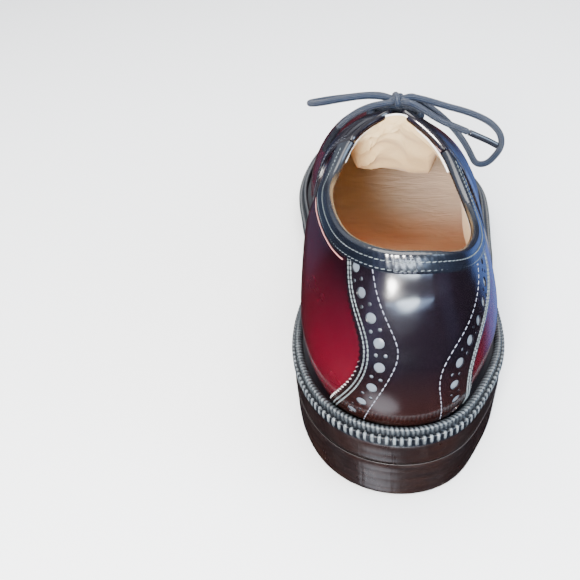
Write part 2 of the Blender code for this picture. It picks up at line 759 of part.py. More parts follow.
def smooth_route(points, step):
    """Points a step apart along a smooth curve through a route's own points."""
    points = np.array(points)
    along = np.append(0, np.cumsum(np.linalg.norm(np.diff(points, axis=0), axis=1)))
    places = np.linspace(0, along[-1], max(int(along[-1] / step), 4) + 1)
    return np.stack([Run(list(zip(along, points[:, axis])))(places) for axis in range(3)], axis=-1)


def rise_from_eyelet(pair, side):
    """The lace's route out of an eyelet and over the facing to its edge."""
    over = OVERLAY_CLEAR + OVERLAY + GAP + LACE_DIAMETER / 2
    u = eyelet_u(pair, side)
    return [on_facing(u, EYELET_INSET * step.inset, over * step.lift) for step in LACE_RISE]


def build_lacing(finish, home):
    for pair in range(1, EYELET_PAIRS):
        route = rise_from_eyelet(pair, -1) + rise_from_eyelet(pair, 1)[::-1]
        tube(f"lace_bar_{pair}", smooth_route(route, LACE_STEP), LACE_DIAMETER, finish, home)
    for side, name in ((-1, "lace_lead_medial"), (1, "lace_lead_lateral")):
        route = rise_from_eyelet(0, side)[:-2] + [np.array(LEAD_ENDS[side]) * MM]
        tube(name, smooth_route(route, LACE_STEP), LACE_DIAMETER, finish, home)


def build_knot(finish, home):
    """The bow's knot, a squat ball between the two leads."""
    form = bmesh.new()
    bmesh.ops.create_uvsphere(form, u_segments=KNOT_SEGMENTS, v_segments=KNOT_RINGS, radius=1.0)
    for vertex in form.verts:
        vertex.co = [(middle + half * co) * MM for middle, half, co in zip(KNOT, KNOT_HALF, vertex.co)]
    mesh = bpy.data.meshes.new("bow_knot")
    form.to_mesh(mesh)
    form.free()
    place("bow_knot", mesh, finish, home)


def build_bow(finish, home):
    for name, route in BOW_ROUTES.items():
        tube(name, smooth_route(np.array(route) * MM, BOW_STEP), LACE_DIAMETER, finish, home)


def main():
    for thing in list(bpy.data.objects):
        bpy.data.objects.remove(thing)
    shoe = bpy.data.collections.new("saddle_shoe")
    cutters = bpy.data.collections.new("cutters")
    bpy.context.scene.collection.children.link(shoe)
    bpy.context.scene.collection.children.link(cutters)

    burgundy = material("burgundy_leather", (0.16, 0.012, 0.02), 0.16)
    black = material("black_leather", (0.03, 0.018, 0.022), 0.16)
    lining = material("lining_leather", (0.62, 0.45, 0.3), 0.6)
    welting = material("welt_leather", (0.02, 0.018, 0.02), 0.35)
    sole = material("sole_leather", (0.045, 0.022, 0.018), 0.3)
    lace = material("waxed_lace", (0.02, 0.022, 0.035), 0.5)

    holes = {side: build_eyelet_cutter(side, cutters) for side in (-1, 1)}
    build_heel(sole, shoe)
    build_outsole(sole, shoe)
    build_welt(welting, shoe)
    build_insole(lining, shoe)
    build_upper(burgundy, holes.values(), shoe)
    build_counter(black, shoe)
    build_saddle("medial", black, holes[-1], shoe)
    build_saddle("lateral", black, holes[1], shoe)
    build_binding(black, shoe)
    build_tongue(black, shoe)
    build_lacing(lace, shoe)
    build_knot(lace, shoe)
    build_bow(lace, shoe)


main()
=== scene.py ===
"""The looks of a saddle shoe for the right foot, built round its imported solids.

Metres, +Z up, +Y from heel to toe, +X to the lateral side. A place round the shoe is u: 0 at the
back of the heel, 1 at the toe, minus on the medial side. A place up the wall is v: 0 at the
feather line, where upper meets welt, 1 at the top edge. A lift is a distance off the wall.
"""

import math
from collections import namedtuple

import bmesh
import bpy
import numpy as np
from mathutils import Matrix, Vector


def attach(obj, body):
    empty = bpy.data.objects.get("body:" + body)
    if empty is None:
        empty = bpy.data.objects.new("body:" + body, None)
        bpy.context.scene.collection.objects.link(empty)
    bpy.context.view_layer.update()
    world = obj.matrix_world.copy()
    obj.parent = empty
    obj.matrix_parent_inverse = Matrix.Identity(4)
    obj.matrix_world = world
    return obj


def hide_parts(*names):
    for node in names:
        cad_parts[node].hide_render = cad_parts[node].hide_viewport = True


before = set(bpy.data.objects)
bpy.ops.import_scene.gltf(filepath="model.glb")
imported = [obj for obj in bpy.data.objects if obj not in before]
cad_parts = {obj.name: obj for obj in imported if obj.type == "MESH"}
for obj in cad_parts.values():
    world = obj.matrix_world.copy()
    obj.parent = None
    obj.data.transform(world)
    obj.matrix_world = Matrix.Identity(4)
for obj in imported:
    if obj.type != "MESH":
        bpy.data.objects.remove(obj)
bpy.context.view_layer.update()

MM = 0.001

# The form, with the same sizes as the solids
LAST_LENGTH = 284 * MM
BALL_WIDTH = 92 * MM
BACK_HEIGHT = 62.5 * MM
INSTEP_HEIGHT = 76.5 * MM
LATERAL_DIP = 10 * MM
HEEL_HEIGHT = 16.6 * MM
TOE_SPRING = 10 * MM
SOLE_THICKNESS = 9 * MM
WELT_THICKNESS = 3.6 * MM
WELT_AT_HEEL = 6.8 * MM
WELT_AT_BALL = 7.4 * MM
WAIST_START = 80 * MM
WAIST_END = 180 * MM
RIB_HEIGHT = 3.2 * MM
RIB_THICKNESS = 2.4 * MM
SEAT_FROM_BACK = 36 * MM
FLAT_START = 176 * MM
FLAT_END = 206 * MM
SPRING_POWER = 1.8
HEEL_LENGTH = 78 * MM
BREAST_DEPTH = 5 * MM
HEEL_TAPER = 1 * MM
SOLE_SETBACK = 0.8 * MM
INSOLE_ABOVE_WELT = 2.5 * MM
WALL = 1.9 * MM
GAP = 0.3 * MM
OVERLAY_LIFT = 1.05 * MM
BINDING_LIFT = 1.4 * MM
TONGUE_THICKNESS = 2.4 * MM
TONGUE_HALF_WIDTH = 36 * MM
TONGUE_CLEAR = 0.9 * MM
LACE_DIAMETER = 2.8 * MM
# The braid's turns for each diameter along the lace, and strands round it
BRAID_ALONG = 3
BRAID_ROUND = 6
EYELET_DIAMETER = 4.4 * MM
EYELET_INSET = 9 * MM
EYELET_PITCH = 10 * MM
EYELET_FIRST = 7 * MM
EYELET_PAIRS = 5
# A small step in u or v, to measure slopes, and how near points lie that are welded
EDGE_STEP = 1e-4
WELD = 2e-5

# Edges and lines of the overlays: the u on each side at each v
Edge = namedtuple("Edge", "v medial lateral")
COUNTER_EDGE = (
    Edge(0.00, 0.134, 0.146),
    Edge(0.06, 0.121, 0.140),
    Edge(0.22, 0.089, 0.122),
    Edge(0.40, 0.068, 0.134),
    Edge(0.54, 0.073, 0.174),
    Edge(0.65, 0.093, 0.210),
    Edge(0.77, 0.122, 0.238),
    Edge(0.90, 0.146, 0.252),
    Edge(1.00, 0.158, 0.256),
)
SADDLE_BACK_EDGE = (
    Edge(0.00, 0.325, 0.325),
    Edge(0.25, 0.340, 0.340),
    Edge(0.45, 0.367, 0.367),
    Edge(0.62, 0.404, 0.404),
    Edge(0.80, 0.428, 0.428),
    Edge(1.00, 0.440, 0.440),
)
SADDLE_FRONT_EDGE = (
    Edge(0.00, 0.585, 0.595),
    Edge(0.35, 0.575, 0.582),
    Edge(0.70, 0.578, 0.580),
    Edge(1.00, 0.590, 0.590),
)
# The middle of the band of holes, and the single row of stitches inside it
HOLE_LINE = (
    Edge(0.02, 0.088, 0.103),
    Edge(0.08, 0.076, 0.097),
    Edge(0.17, 0.059, 0.087),
    Edge(0.28, 0.044, 0.080),
    Edge(0.38, 0.036, 0.086),
    Edge(0.50, 0.034, 0.114),
    Edge(0.61, 0.045, 0.157),
    Edge(0.73, 0.069, 0.195),
    Edge(0.83, 0.098, 0.212),
    Edge(0.96, 0.129, 0.222),
)
INNER_LINE = (
    Edge(0.00, 0.062, 0.072),
    Edge(0.21, 0.037, 0.058),
    Edge(0.40, 0.015, 0.060),
    Edge(0.53, 0.008, 0.090),
    Edge(0.66, 0.024, 0.136),
    Edge(0.80, 0.051, 0.178),
    Edge(1.00, 0.091, 0.205),
)

# One row for each curve up the wall: shares of the sizes above
Section = namedtuple(
    "Section",
    "at medial lateral top_at back instep dip ridge open_m open_l rise bulge flare_m flare_l drop_m drop_l",
)
SECTIONS = [Section(*row) for row in (
    (0.000, 0.000, 0.000, 0.028, 1.000, 0.000, 0.00, 0.00, 0.000, 0.000, 0.40, 0.130, 0.04, 0.04, 0.33, 0.33),
    (0.028, 0.210, 0.196, 0.042, 0.997, 0.000, 0.20, 0.00, 0.120, 0.135, 0.40, 0.120, 0.04, 0.04, 0.33, 0.33),
    (0.070, 0.300, 0.276, 0.078, 0.968, 0.000, 0.55, 0.00, 0.196, 0.212, 0.40, 0.105, 0.05, 0.05, 0.33, 0.33),
    (0.145, 0.364, 0.366, 0.157, 0.912, 0.000, 0.95, 0.00, 0.261, 0.288, 0.40, 0.080, 0.08, 0.06, 0.30, 0.30),
    (0.260, 0.364, 0.394, 0.260, 0.620, 0.212, 1.00, 0.00, 0.288, 0.308, 0.42, 0.060, 0.14, 0.08, 0.20, 0.24),
    (0.370, 0.348, 0.418, 0.336, 0.220, 0.611, 0.50, 0.00, 0.245, 0.255, 0.44, 0.050, 0.21, 0.10, 0.10, 0.15),
    (0.430, 0.365, 0.445, 0.375, 0.040, 0.902, 0.40, 0.00, 0.152, 0.163, 0.44, 0.044, 0.28, 0.14, 0.09, 0.12),
    (0.470, 0.378, 0.460, 0.396, 0.000, 1.000, 0.05, 0.00, 0.048, 0.048, 0.44, 0.036, 0.31, 0.21, 0.08, 0.12),
    (0.520, 0.395, 0.475, 0.438, 0.000, 0.960, 0.00, 0.00, 0.038, 0.038, 0.43, 0.030, 0.30, 0.25, 0.08, 0.12),
    (0.590, 0.423, 0.497, 0.512, 0.000, 0.880, 0.00, 0.00, 0.030, 0.030, 0.42, 0.026, 0.28, 0.28, 0.08, 0.10),
    (0.662, 0.460, 0.516, 0.580, 0.000, 0.800, 0.00, -0.01, 0.00, 0.00, 0.42, 0.024, 0.28, 0.28, 0.05, 0.06),
    (0.740, 0.485, 0.515, 0.642, 0.000, 0.720, 0.00, -0.02, 0.00, 0.00, 0.44, 0.026, 0.28, 0.28, 0.03, 0.03),
    (0.830, 0.462, 0.440, 0.715, 0.000, 0.625, 0.00, -0.03, 0.00, 0.00, 0.48, 0.028, 0.28, 0.26, 0.02, 0.02),
    (0.920, 0.380, 0.302, 0.782, 0.000, 0.540, 0.00, -0.04, 0.00, 0.00, 0.54, 0.028, 0.28, 0.25, 0.04, 0.04),
    (0.975, 0.266, 0.151, 0.822, 0.000, 0.490, 0.00, -0.05, 0.00, 0.00, 0.58, 0.028, 0.28, 0.27, 0.10, 0.10),
    (1.000, 0.059, -0.059, 0.836, 0.000, 0.470, 0.00, -0.05, 0.00, 0.00, 0.60, 0.028, 0.28, 0.28, 0.14, 0.14),
)]
THROAT_AT = 0.662
FACING_AT = 0.470
TONGUE_FRONT_AT = 0.700


# The camera, where the photograph was taken from: angles in degrees, what it looks at and from how
# far in metres, and its focal length in mm
CAMERA_TURN, CAMERA_TILT, CAMERA_ROLL = -7.31, 34, -3.579
CAMERA_TARGET = (-0.0419, 0.0580, 0.0452)
CAMERA_DISTANCE = 0.29333
CAMERA_LENS = 45.7524


def build_camera():
    bearing, tilt, roll = np.radians((CAMERA_TURN, CAMERA_TILT, CAMERA_ROLL))
    flat = math.cos(tilt)
    ahead = np.array([math.sin(bearing) * flat, math.cos(bearing) * flat, -math.sin(tilt)])
    right = unit(np.cross(ahead, (0, 0, 1)))
    up = np.cross(right, ahead)
    across = math.cos(roll) * right + math.sin(roll) * up
    upright = -math.sin(roll) * right + math.cos(roll) * up
    eye = np.array(CAMERA_TARGET) - ahead * CAMERA_DISTANCE
    data = bpy.data.cameras.new("camera")
    data.sensor_width = 36
    data.lens = CAMERA_LENS
    data.clip_start = 0.01
    camera = bpy.data.objects.new("camera", data)
    axes = np.stack([across, upright, -ahead, eye], axis=1)
    camera.matrix_world = Matrix(np.vstack([axes, (0, 0, 0, 1)]).tolist())
    bpy.context.scene.collection.objects.link(camera)
    bpy.context.scene.camera = camera


# Smooth curves through knots

def turn(at):
    return math.acos(1 - 2 * at) / math.pi


class Curve:
    """A smooth curve of one value through knots. A closed one goes once round the shoe, from -1 to 1."""

    def __init__(self, knots, closed=False):
        self.at, self.value = np.array(sorted(knots), float).T
        self.closed = closed
        count = len(self.at)
        self.step = np.diff(np.append(self.at, self.at[:closed] + 2))
        slope = np.diff(np.append(self.value, self.value[:closed])) / self.step
        system = np.zeros((count, count)) if closed else np.eye(count)
        change = np.zeros(count)
        for i in range(count) if closed else range(1, count - 1):
            system[i, i] = 2 * (self.step[i - 1] + self.step[i])
            system[i, i - 1] += self.step[i - 1]
            system[i, (i + 1) % count] += self.step[i]
            change[i] = 6 * (slope[i] - slope[i - 1])
        self.bend = np.linalg.solve(system, change)

    def __call__(self, place):
        place = np.asarray(place, float)
        place = (place + 1) % 2 - 1 if self.closed else np.clip(place, self.at[0], self.at[-1])
        i = np.clip(np.searchsorted(self.at, place, side="right") - 1, 0, len(self.step) - 1)
        after = (i + 1) % len(self.at)
        step = self.step[i]
        far = (place - self.at[i]) / step
        near = 1 - far
        bent = (near**3 - near) * self.bend[i] + (far**3 - far) * self.bend[after]
        return near * self.value[i] + far * self.value[after] + bent * step**2 / 6


def curves_through(points, gone):
    """A smooth curve through points, as a function of the distances gone at them."""
    axes = [Curve(zip(gone, values)) for values in points.T]
    return lambda places: np.stack([axis(places) for axis in axes], axis=-1)


def ring_of(medial, lateral=None, sign=1):
    """The closed curve of one or two columns of the sections. Sign is that of the medial side."""
    knots = [(-turn(s.at), sign * getattr(s, medial)) for s in SECTIONS]
    return Curve(knots + [(turn(s.at), getattr(s, lateral or medial)) for s in SECTIONS[1:-1]], closed=True)


def opening_curve():
    """How far the opening's edges stand from its middle line."""
    rows = [s for s in SECTIONS if s.at <= THROAT_AT]
    return Curve([(-turn(s.at), -s.open_m) for s in rows] + [(turn(s.at), s.open_l) for s in rows[1:]])


OUTLINE = ring_of("medial", "lateral", sign=-1)
OPENING = opening_curve()
COLUMN = {name: ring_of(name) for name in ("top_at", "back", "instep", "dip", "ridge", "rise", "bulge")}
COLUMN["flare"] = ring_of("flare_m", "flare_l")
COLUMN["drop"] = ring_of("drop_m", "drop_l")
THROAT_U = turn(THROAT_AT)
FACING_U = turn(FACING_AT)
TONGUE_FRONT_U = turn(TONGUE_FRONT_AT)


def smooth_step(t):
    t = np.clip(t, 0, 1)
    return t * t * (3 - 2 * t)


def unit(vectors):
    return vectors / np.linalg.norm(vectors, axis=-1, keepdims=True)


def gone_along(points):
    """The distance gone at each point of a line."""
    return np.append(0, np.cumsum(np.linalg.norm(np.diff(points, axis=0), axis=1)))


def read_along(places, gone, values):
    """What the points of a line hold, read off at distances along it."""
    return np.stack([np.interp(places, gone, column) for column in values.T], axis=-1)


def at_height(plan, height):
    """Points over a plan."""
    return np.concatenate([plan, np.broadcast_to(height, plan.shape[:-1])[..., None]], axis=-1)


def sole_rise(y):
    heel = HEEL_HEIGHT * smooth_step((FLAT_START - y) / (FLAT_START - SEAT_FROM_BACK))
    to_tip = (y - FLAT_END) / (LAST_LENGTH + 9 * MM - FLAT_END)
    return heel + TOE_SPRING * np.clip(to_tip, 0, None) ** SPRING_POWER


def welt_base(y):
    return sole_rise(y) + SOLE_THICKNESS + GAP


def feather_height(y):
    return welt_base(y) + WELT_THICKNESS + GAP


def feather(u):
    u = np.asarray(u, float)
    return np.stack([OUTLINE(u) * BALL_WIDTH, LAST_LENGTH * (1 - np.cos(np.pi * u)) / 2], axis=-1)


def outward(u):
    along = unit(feather(np.asarray(u) + EDGE_STEP) - feather(np.asarray(u) - EDGE_STEP))
    return np.stack([along[..., 1], -along[..., 0]], axis=-1)


def wall(u, v):
    """A point of the upper's outer face."""
    u, v = np.broadcast_arrays(np.asarray(u, float), np.asarray(v, float))
    plan = feather(u)
    base = np.concatenate([plan, feather_height(plan[..., 1:])], axis=-1)
    top_y = COLUMN["top_at"](u) * LAST_LENGTH
    opening = np.where(np.abs(u) < THROAT_U, OPENING(u), 0)
    top_x = (COLUMN["ridge"](u) + opening) * BALL_WIDTH
    top_z = (
        feather_height(top_y)
        + COLUMN["back"](u) * BACK_HEIGHT
        + COLUMN["instep"](u) * INSTEP_HEIGHT
        - COLUMN["dip"](u) * np.where(u > 0, LATERAL_DIP, 0)
    )
    top = np.stack([top_x, top_y, top_z], axis=-1)
    height = (top - base)[..., 2]
    span = unit((base - top)[..., :2])
    low = base.copy()
    low[..., :2] += outward(u) * (COLUMN["bulge"](u) * BALL_WIDTH)[..., None]
    low[..., 2] += COLUMN["rise"](u) * height
    high = top.copy()
    high[..., :2] += span * (COLUMN["flare"](u) * BALL_WIDTH)[..., None]
    high[..., 2] -= COLUMN["drop"](u) * height
    v = v[..., None]
    return (1 - v) ** 3 * base + 3 * (1 - v) ** 2 * v * low + 3 * (1 - v) * v**2 * high + v**3 * top


def slopes(u, v):
    """How fast a point of the wall moves with u and with v."""
    low, high = np.clip(v - EDGE_STEP, 0, 1), np.clip(v + EDGE_STEP, 0, 1)
    along = (wall(u + EDGE_STEP, v) - wall(u - EDGE_STEP, v)) / (2 * EDGE_STEP)
    up = (wall(u, high) - wall(u, low)) / (high - low)[..., None]
    return along, up


def normal(u, v):
    u, v = np.broadcast_arrays(np.asarray(u, float), np.asarray(v, float))
    along, up = slopes(u, v)
    return unit(np.cross(along, up))


def skin(u, v, lift):
    """A point at a lift off the upper's outer face."""
    return wall(u, v) + normal(u, v) * np.asarray(lift)[..., None]


def down(u, distance):
    """The v at a distance down the wall from its top edge."""
    u, distance = np.broadcast_arrays(np.asarray(u, float), np.asarray(distance, float))
    v = np.linspace(1, 0, 81)
    flat_u, flat_d = u.ravel(), distance.ravel()
    lines = wall(flat_u[:, None], v[None, :])
    gone = np.cumsum(np.linalg.norm(np.diff(lines, axis=1), axis=-1), axis=1)
    gone = np.concatenate([np.zeros((len(flat_u), 1)), gone], axis=1)
    return np.array([np.interp(d, g, v) for d, g in zip(flat_d, gone)]).reshape(u.shape)


def beside(u, v, distance):
    """A line on the wall at a distance from another: plus is to its left, seen from outside."""
    u, v = np.array(u, float), np.array(v, float)
    line = wall(u, v)
    side = unit(np.cross(normal(u, v), np.gradient(line, axis=0)))
    distance = np.broadcast_to(distance, u.shape)
    steps = max(int(np.abs(distance).max() / MM) + 1, 1)
    for _ in range(steps):
        along, up = slopes(u, np.clip(v, EDGE_STEP, 1 - EDGE_STEP))
        a, b, c = (along * along).sum(-1), (along * up).sum(-1), (up * up).sum(-1)
        p, q = (side * along).sum(-1), (side * up).sum(-1)
        det = a * c - b * b
        u = u + (c * p - b * q) / det * distance / steps
        v = v + (a * q - b * p) / det * distance / steps
    return u, v


def lean(u):
    step = wall(u, 0.02) - wall(u, 0.01)
    away = np.sum(step[..., :2] * outward(u), axis=-1)
    return np.clip(away / step[..., 2], 0, None)


def welt_reach(u):
    share = smooth_step((feather(u)[..., 1] - WAIST_START) / (WAIST_END - WAIST_START))
    return WELT_AT_HEEL + (WELT_AT_BALL - WELT_AT_HEEL) * share


def round_line(u, out):
    """A line in plan at a distance outside the feather line."""
    return feather(u) + outward(u) * np.broadcast_to(out, u.shape)[..., None]


def even_round(count, reach):
    """The u of points evenly spaced right round the shoe at a distance outside it, and their distances."""
    u = np.linspace(-1, 1, 2001)
    gone = gone_along(round_line(u, reach))
    places = np.linspace(0, 1, count, endpoint=False) * gone[-1]
    return np.interp(places, gone, u), places, gone[-1]


# Meshes

def grid_faces(columns, rows, closed=False, start=0):
    i = np.arange(columns if closed else columns - 1)
    i, j = np.meshgrid(i, np.arange(rows - 1), indexing="ij")
    a = start + i * rows + j
    b = start + ((i + 1) % columns) * rows + j
    return np.stack([a, b, b + 1, a + 1], -1).reshape(-1, 4)


def add_mesh(name, points, faces, finish, slots=None, weld=0.0, recalc=False, sharp=50):
    """A smooth mesh object from points and faces."""
    mesh = bpy.data.meshes.new(name)
    mesh.from_pydata(np.asarray(points).tolist(), [], [list(face) for face in faces])
    finishes = finish if isinstance(finish, (list, tuple)) else [finish]
    for made in finishes:
        mesh.materials.append(made)
    if slots is not None:
        mesh.polygons.foreach_set("material_index", np.asarray(slots, np.int32))
    if weld or recalc:
        form = bmesh.new()
        form.from_mesh(mesh)
        if weld:
            bmesh.ops.remove_doubles(form, verts=form.verts, dist=weld)
        if recalc:
            bmesh.ops.recalc_face_normals(form, faces=form.faces)
        form.to_mesh(mesh)
        form.free()
    mesh.shade_smooth()
    mesh.set_sharp_from_angle(angle=math.radians(sharp))
    thing = bpy.data.objects.new(name, mesh)
    bpy.context.scene.collection.objects.link(thing)
    return thing


def add_sheet(name, points, finish, closed=False, sharp=50):
    columns, rows = points.shape[:2]
    return add_mesh(name, points.reshape(-1, 3), grid_faces(columns, rows, closed), finish, sharp=sharp)


def point_normals(points, closed):
    """The way out at each point of a grid, from the faces round it."""
    faces = grid_faces(*points.shape[:2], closed)
    flat = points.reshape(-1, 3)
    facing = np.cross(flat[faces[:, 2]] - flat[faces[:, 0]], flat[faces[:, 3]] - flat[faces[:, 1]])
    total = np.zeros_like(flat)
    for corner in range(4):
        np.add.at(total, faces[:, corner], facing)
    return total.reshape(points.shape)


def add_shell(name, outer, inner, finish, closed=False, weld=0.0, sharp=50, open_top=None):
    """A closed wall between two grids. Its materials are outer, inner and rim.
    Open_top marks the columns whose tops aren't joined there, so they get a rim."""
    columns, rows = outer.shape[:2]
    count = columns * rows
    points = np.concatenate([outer.reshape(-1, 3), inner.reshape(-1, 3)])
    index = np.arange(count).reshape(columns, rows)
    out_faces = grid_faces(columns, rows, closed)
    in_faces = grid_faces(columns, rows, closed, count)[:, ::-1]
    lines = [index[:, 0], index[:, -1][::-1]]
    if closed:
        lines = [np.append(line, line[0]) for line in lines]
    else:
        lines += [index[-1, :], index[0, ::-1]]
    rims = [np.stack([line[1:], line[:-1], line[:-1] + count, line[1:] + count], -1) for line in lines]
    if open_top is not None:
        first, second = rims[1][:, 0] // rows, rims[1][:, 1] // rows
        rims[1] = rims[1][open_top[first] | open_top[second]]
    faces = np.concatenate([out_faces, in_faces] + rims)
    slots = np.concatenate([
        np.zeros(len(out_faces)),
        np.full(len(in_faces), min(1, len(finish) - 1)),
        np.full(sum(len(r) for r in rims), min(2, len(finish) - 1)),
    ])
    return add_mesh(name, points, faces, finish, slots, weld, recalc=True, sharp=sharp)


def add_number(thing, name, values):
    """A number for each vertex, for a material to read."""
    layer = thing.data.attributes.new(name, "FLOAT", "POINT")
    layer.data.foreach_set("value", np.asarray(values, np.float32).ravel())


def bake(thing):
    """Applies an object's modifiers."""
    view = bpy.context.evaluated_depsgraph_get()
    made = bpy.data.meshes.new_from_object(thing.evaluated_get(view))
    old = thing.data
    thing.modifiers.clear()
    thing.data = made
    made.name = thing.name
    bpy.data.meshes.remove(old)


def punch(thing, spots):
    """Cuts round holes: each spot is a centre, an axis, a radius and half a depth."""
    form = bmesh.new()
    for centre, axis, radius, half in spots:
        turned = Vector(axis).to_track_quat("Z", "Y").to_matrix().to_4x4()
        bmesh.ops.create_cone(
            form,
            cap_ends=True,
            segments=28,
            radius1=radius,
            radius2=radius,
            depth=2 * half,
            matrix=Matrix.Translation(Vector(centre)) @ turned,
        )
    mesh = bpy.data.meshes.new("punch")
    form.to_mesh(mesh)
    form.free()
    cutter = bpy.data.objects.new("punch", mesh)
    bpy.context.scene.collection.objects.link(cutter)
    hole = thing.modifiers.new("holes", "BOOLEAN")
    hole.operation = "DIFFERENCE"
    hole.solver = "MANIFOLD"
    hole.object = cutter
    bake(thing)
    bpy.data.objects.remove(cutter)
    bpy.data.meshes.remove(mesh)
    thing.data.set_sharp_from_angle(angle=math.radians(40))


def smooth_route(route, step):
    """Points a step apart along a smooth curve through a route."""
    route = np.array(route, float)
    gone = gone_along(route)
    return curves_through(route, gone)(np.linspace(0, gone[-1], max(int(gone[-1] / step), 4) + 1))


def tube_faces(rings, sides):
    """The faces between rings of points, with a cap at each end."""
    faces = []
    for i in range(rings - 1):
        for j in range(sides):
            k = (j + 1) % sides
            faces.append((i * sides + j, i * sides + k, (i + 1) * sides + k, (i + 1) * sides + j))
    last = (rings - 1) * sides
    return faces + [tuple(range(sides))[::-1], tuple(range(last, last + sides))]


def add_tube(name, path, radius, finish, sides=14, ends=0.5):
    """A round cord along dense points, with a UV map of diameters along and turns round.
    Ends says how far its rounded ends stand out, in radii."""
    radius = np.broadcast_to(radius, len(path))
    ahead = unit(np.gradient(path, axis=0))
    first = np.cross(ahead[0], (0.0, 0.0, 1.0))
    if np.linalg.norm(first) < 0.1:
        first = np.cross(ahead[0], (0.0, 1.0, 0.0))
    side = [unit(first)]
    for way in ahead[1:]:
        side.append(unit(side[-1] - way * np.dot(side[-1], way)))
    up = np.cross(side, ahead)
    caps = [(ends * math.sin(a), math.cos(a)) for a in (1.35, 0.9, 0.45)]
    rings = [(0, -out, size) for out, size in caps]
    rings += [(i, 0, 1) for i in range(len(path))]
    rings += [(-1, out, size) for out, size in caps[::-1]]
    angle = np.linspace(0, 2 * np.pi, sides, endpoint=False)[:, None]
    points = np.concatenate([
        path[i] + (ahead[i] * out + (np.cos(angle) * side[i] + np.sin(angle) * up[i]) * size) * radius[i]
        for i, out, size in rings
    ])
    thing = add_mesh(name, points, tube_faces(len(rings), sides), finish, recalc=True, sharp=80)
    gone = gone_along(path)
    layer = thing.data.uv_layers.new(name="along")
    for polygon in thing.data.polygons:
        corners = [thing.data.loops[k].vertex_index for k in polygon.loop_indices]
        wraps = {c % sides for c in corners} == {0, sides - 1}
        for k, c in zip(polygon.loop_indices, corners):
            around = 1.0 if wraps and c % sides == 0 else c % sides / sides
            layer.data[k].uv = (gone[rings[c // sides][0]] / LACE_DIAMETER, around)
    return thing


# One stitch: rings of a short, flat capsule, as share of length, of half width, and of depth
STITCH_RINGS = ((-0.50, 0.45, -0.55), (-0.34, 0.95, 0.0), (0.34, 0.95, 0.0), (0.50, 0.45, -0.55))
STITCH_SIDES = 6


def stitch_places(u, v, lift, pitch):
    """Where stitches lie along a line on the wall: the centre, direction and normal of each."""
    u, v = np.broadcast_arrays(u, v)
    line = skin(u, v, lift)
    gone = gone_along(line)
    count = max(int(gone[-1] / pitch), 1)
    places = (np.arange(count) + 0.5) * gone[-1] / count
    out = normal(u, np.clip(v, EDGE_STEP, 1 - EDGE_STEP))
    ways = [unit(read_along(places, gone, values)) for values in (unit(np.gradient(line, axis=0)), out)]
    return np.stack([read_along(places, gone, line), *ways], axis=1)


def add_stitches(name, rows, length, width, finish, tilt=0.0):
    """All the stitches of one seam as one mesh."""
    centre, ahead, out = np.concatenate(rows).transpose(1, 0, 2)[:, :, None]
    ahead = unit(ahead + unit(np.cross(out, ahead)) * tilt)
    side = unit(np.cross(out, ahead))
    share, wide, depth = np.repeat(STITCH_RINGS, STITCH_SIDES, axis=0).T[..., None]
    angle = np.tile(np.linspace(0, 2 * np.pi, STITCH_SIDES, endpoint=False), len(STITCH_RINGS))[:, None]
    across, up = np.cos(angle) * wide, np.sin(angle) * wide * 0.8 + depth
    points = centre + ahead * share * length + (side * across + out * up) * width / 2
    each = points.shape[1]
    faces = tube_faces(len(STITCH_RINGS), STITCH_SIDES)
    every = [[c + n * each for c in face] for n in range(len(points)) for face in faces]
    stitches = add_mesh(name, points.reshape(-1, 3), every, finish, sharp=85)
    keep(stitches, "waxed_lace")


# Materials

class Nodes:
    """The nodes of one material, or of the world."""

    def __init__(self, owner):
        owner.use_nodes = True
        self.owner = owner
        self.new = owner.node_tree.nodes.new
        self.link = owner.node_tree.links.new
        self.coords = self.new("ShaderNodeTexCoord").outputs
        self.space = self.coords["Object"]

    def put(self, socket, value):
        """Sets a socket to a number or a colour, or links an output to it."""
        if isinstance(value, bpy.types.NodeSocket):
            self.link(value, socket)
        else:
            socket.default_value = (*value, 1.0) if socket.type == "RGBA" else value

    def node(self, kind, **values):
        """A new node. Its inputs are named with _ for each space."""
        made = self.new("ShaderNode" + kind)
        for name, value in values.items():
            self.put(made.inputs[name.replace("_", " ")], value)
        return made

    def noise(self, scale, detail, roughness=0.5, stretch=None, distortion=0.0):
        vector = self.space
        if stretch:
            vector = self.node("Mapping", Vector=vector, Scale=stretch).outputs["Vector"]
        values = {"Scale": scale, "Detail": detail, "Roughness": roughness, "Distortion": distortion}
        return self.node("TexNoise", Vector=vector, **values).outputs["Fac"]

    def spread(self, value, low, high, to_low=0.0, to_high=1.0, kind="LINEAR"):
        """Carries a range of values over to another range."""
        made = self.node("MapRange", Value=value, From_Min=low, From_Max=high, To_Min=to_low, To_Max=to_high)
        made.interpolation_type = kind
        return made.outputs["Result"]

    def mix(self, share, first, second, kind="MIX"):
        made = self.new("ShaderNodeMix")
        made.data_type = "RGBA"
        made.blend_type = kind
        self.put(made.inputs["Factor"], share)
        for socket, colour in zip([s for s in made.inputs if s.type == "RGBA"], (first, second)):
            self.put(socket, colour)
        return [s for s in made.outputs if s.type == "RGBA"][0]

    def maths(self, operation, *values):
        made = self.new("ShaderNodeMath")
        made.operation = operation
        for socket, value in zip(made.inputs, values):
            self.put(socket, value)
        return made.outputs[0]

    def part(self, vector, axis):
        return self.node("SeparateXYZ", Vector=vector).outputs[axis]

    def bump(self, height, distance, strength, **before):
        """A bump of a height in metres. A bump below it is given as Normal."""
        bump = self.node("Bump", Height=height, Distance=distance, Strength=strength, **before)
        return bump.outputs["Normal"]

    def shade(self, **values):
        """Sets the shader's sockets, and gives the finished material."""
        shader = self.owner.node_tree.nodes["Principled BSDF"]
        for name, value in values.items():
            self.put(shader.inputs[name.replace("_", " ")], value)
        return self.owner


def start(name):
    return Nodes(bpy.data.materials.new(name))


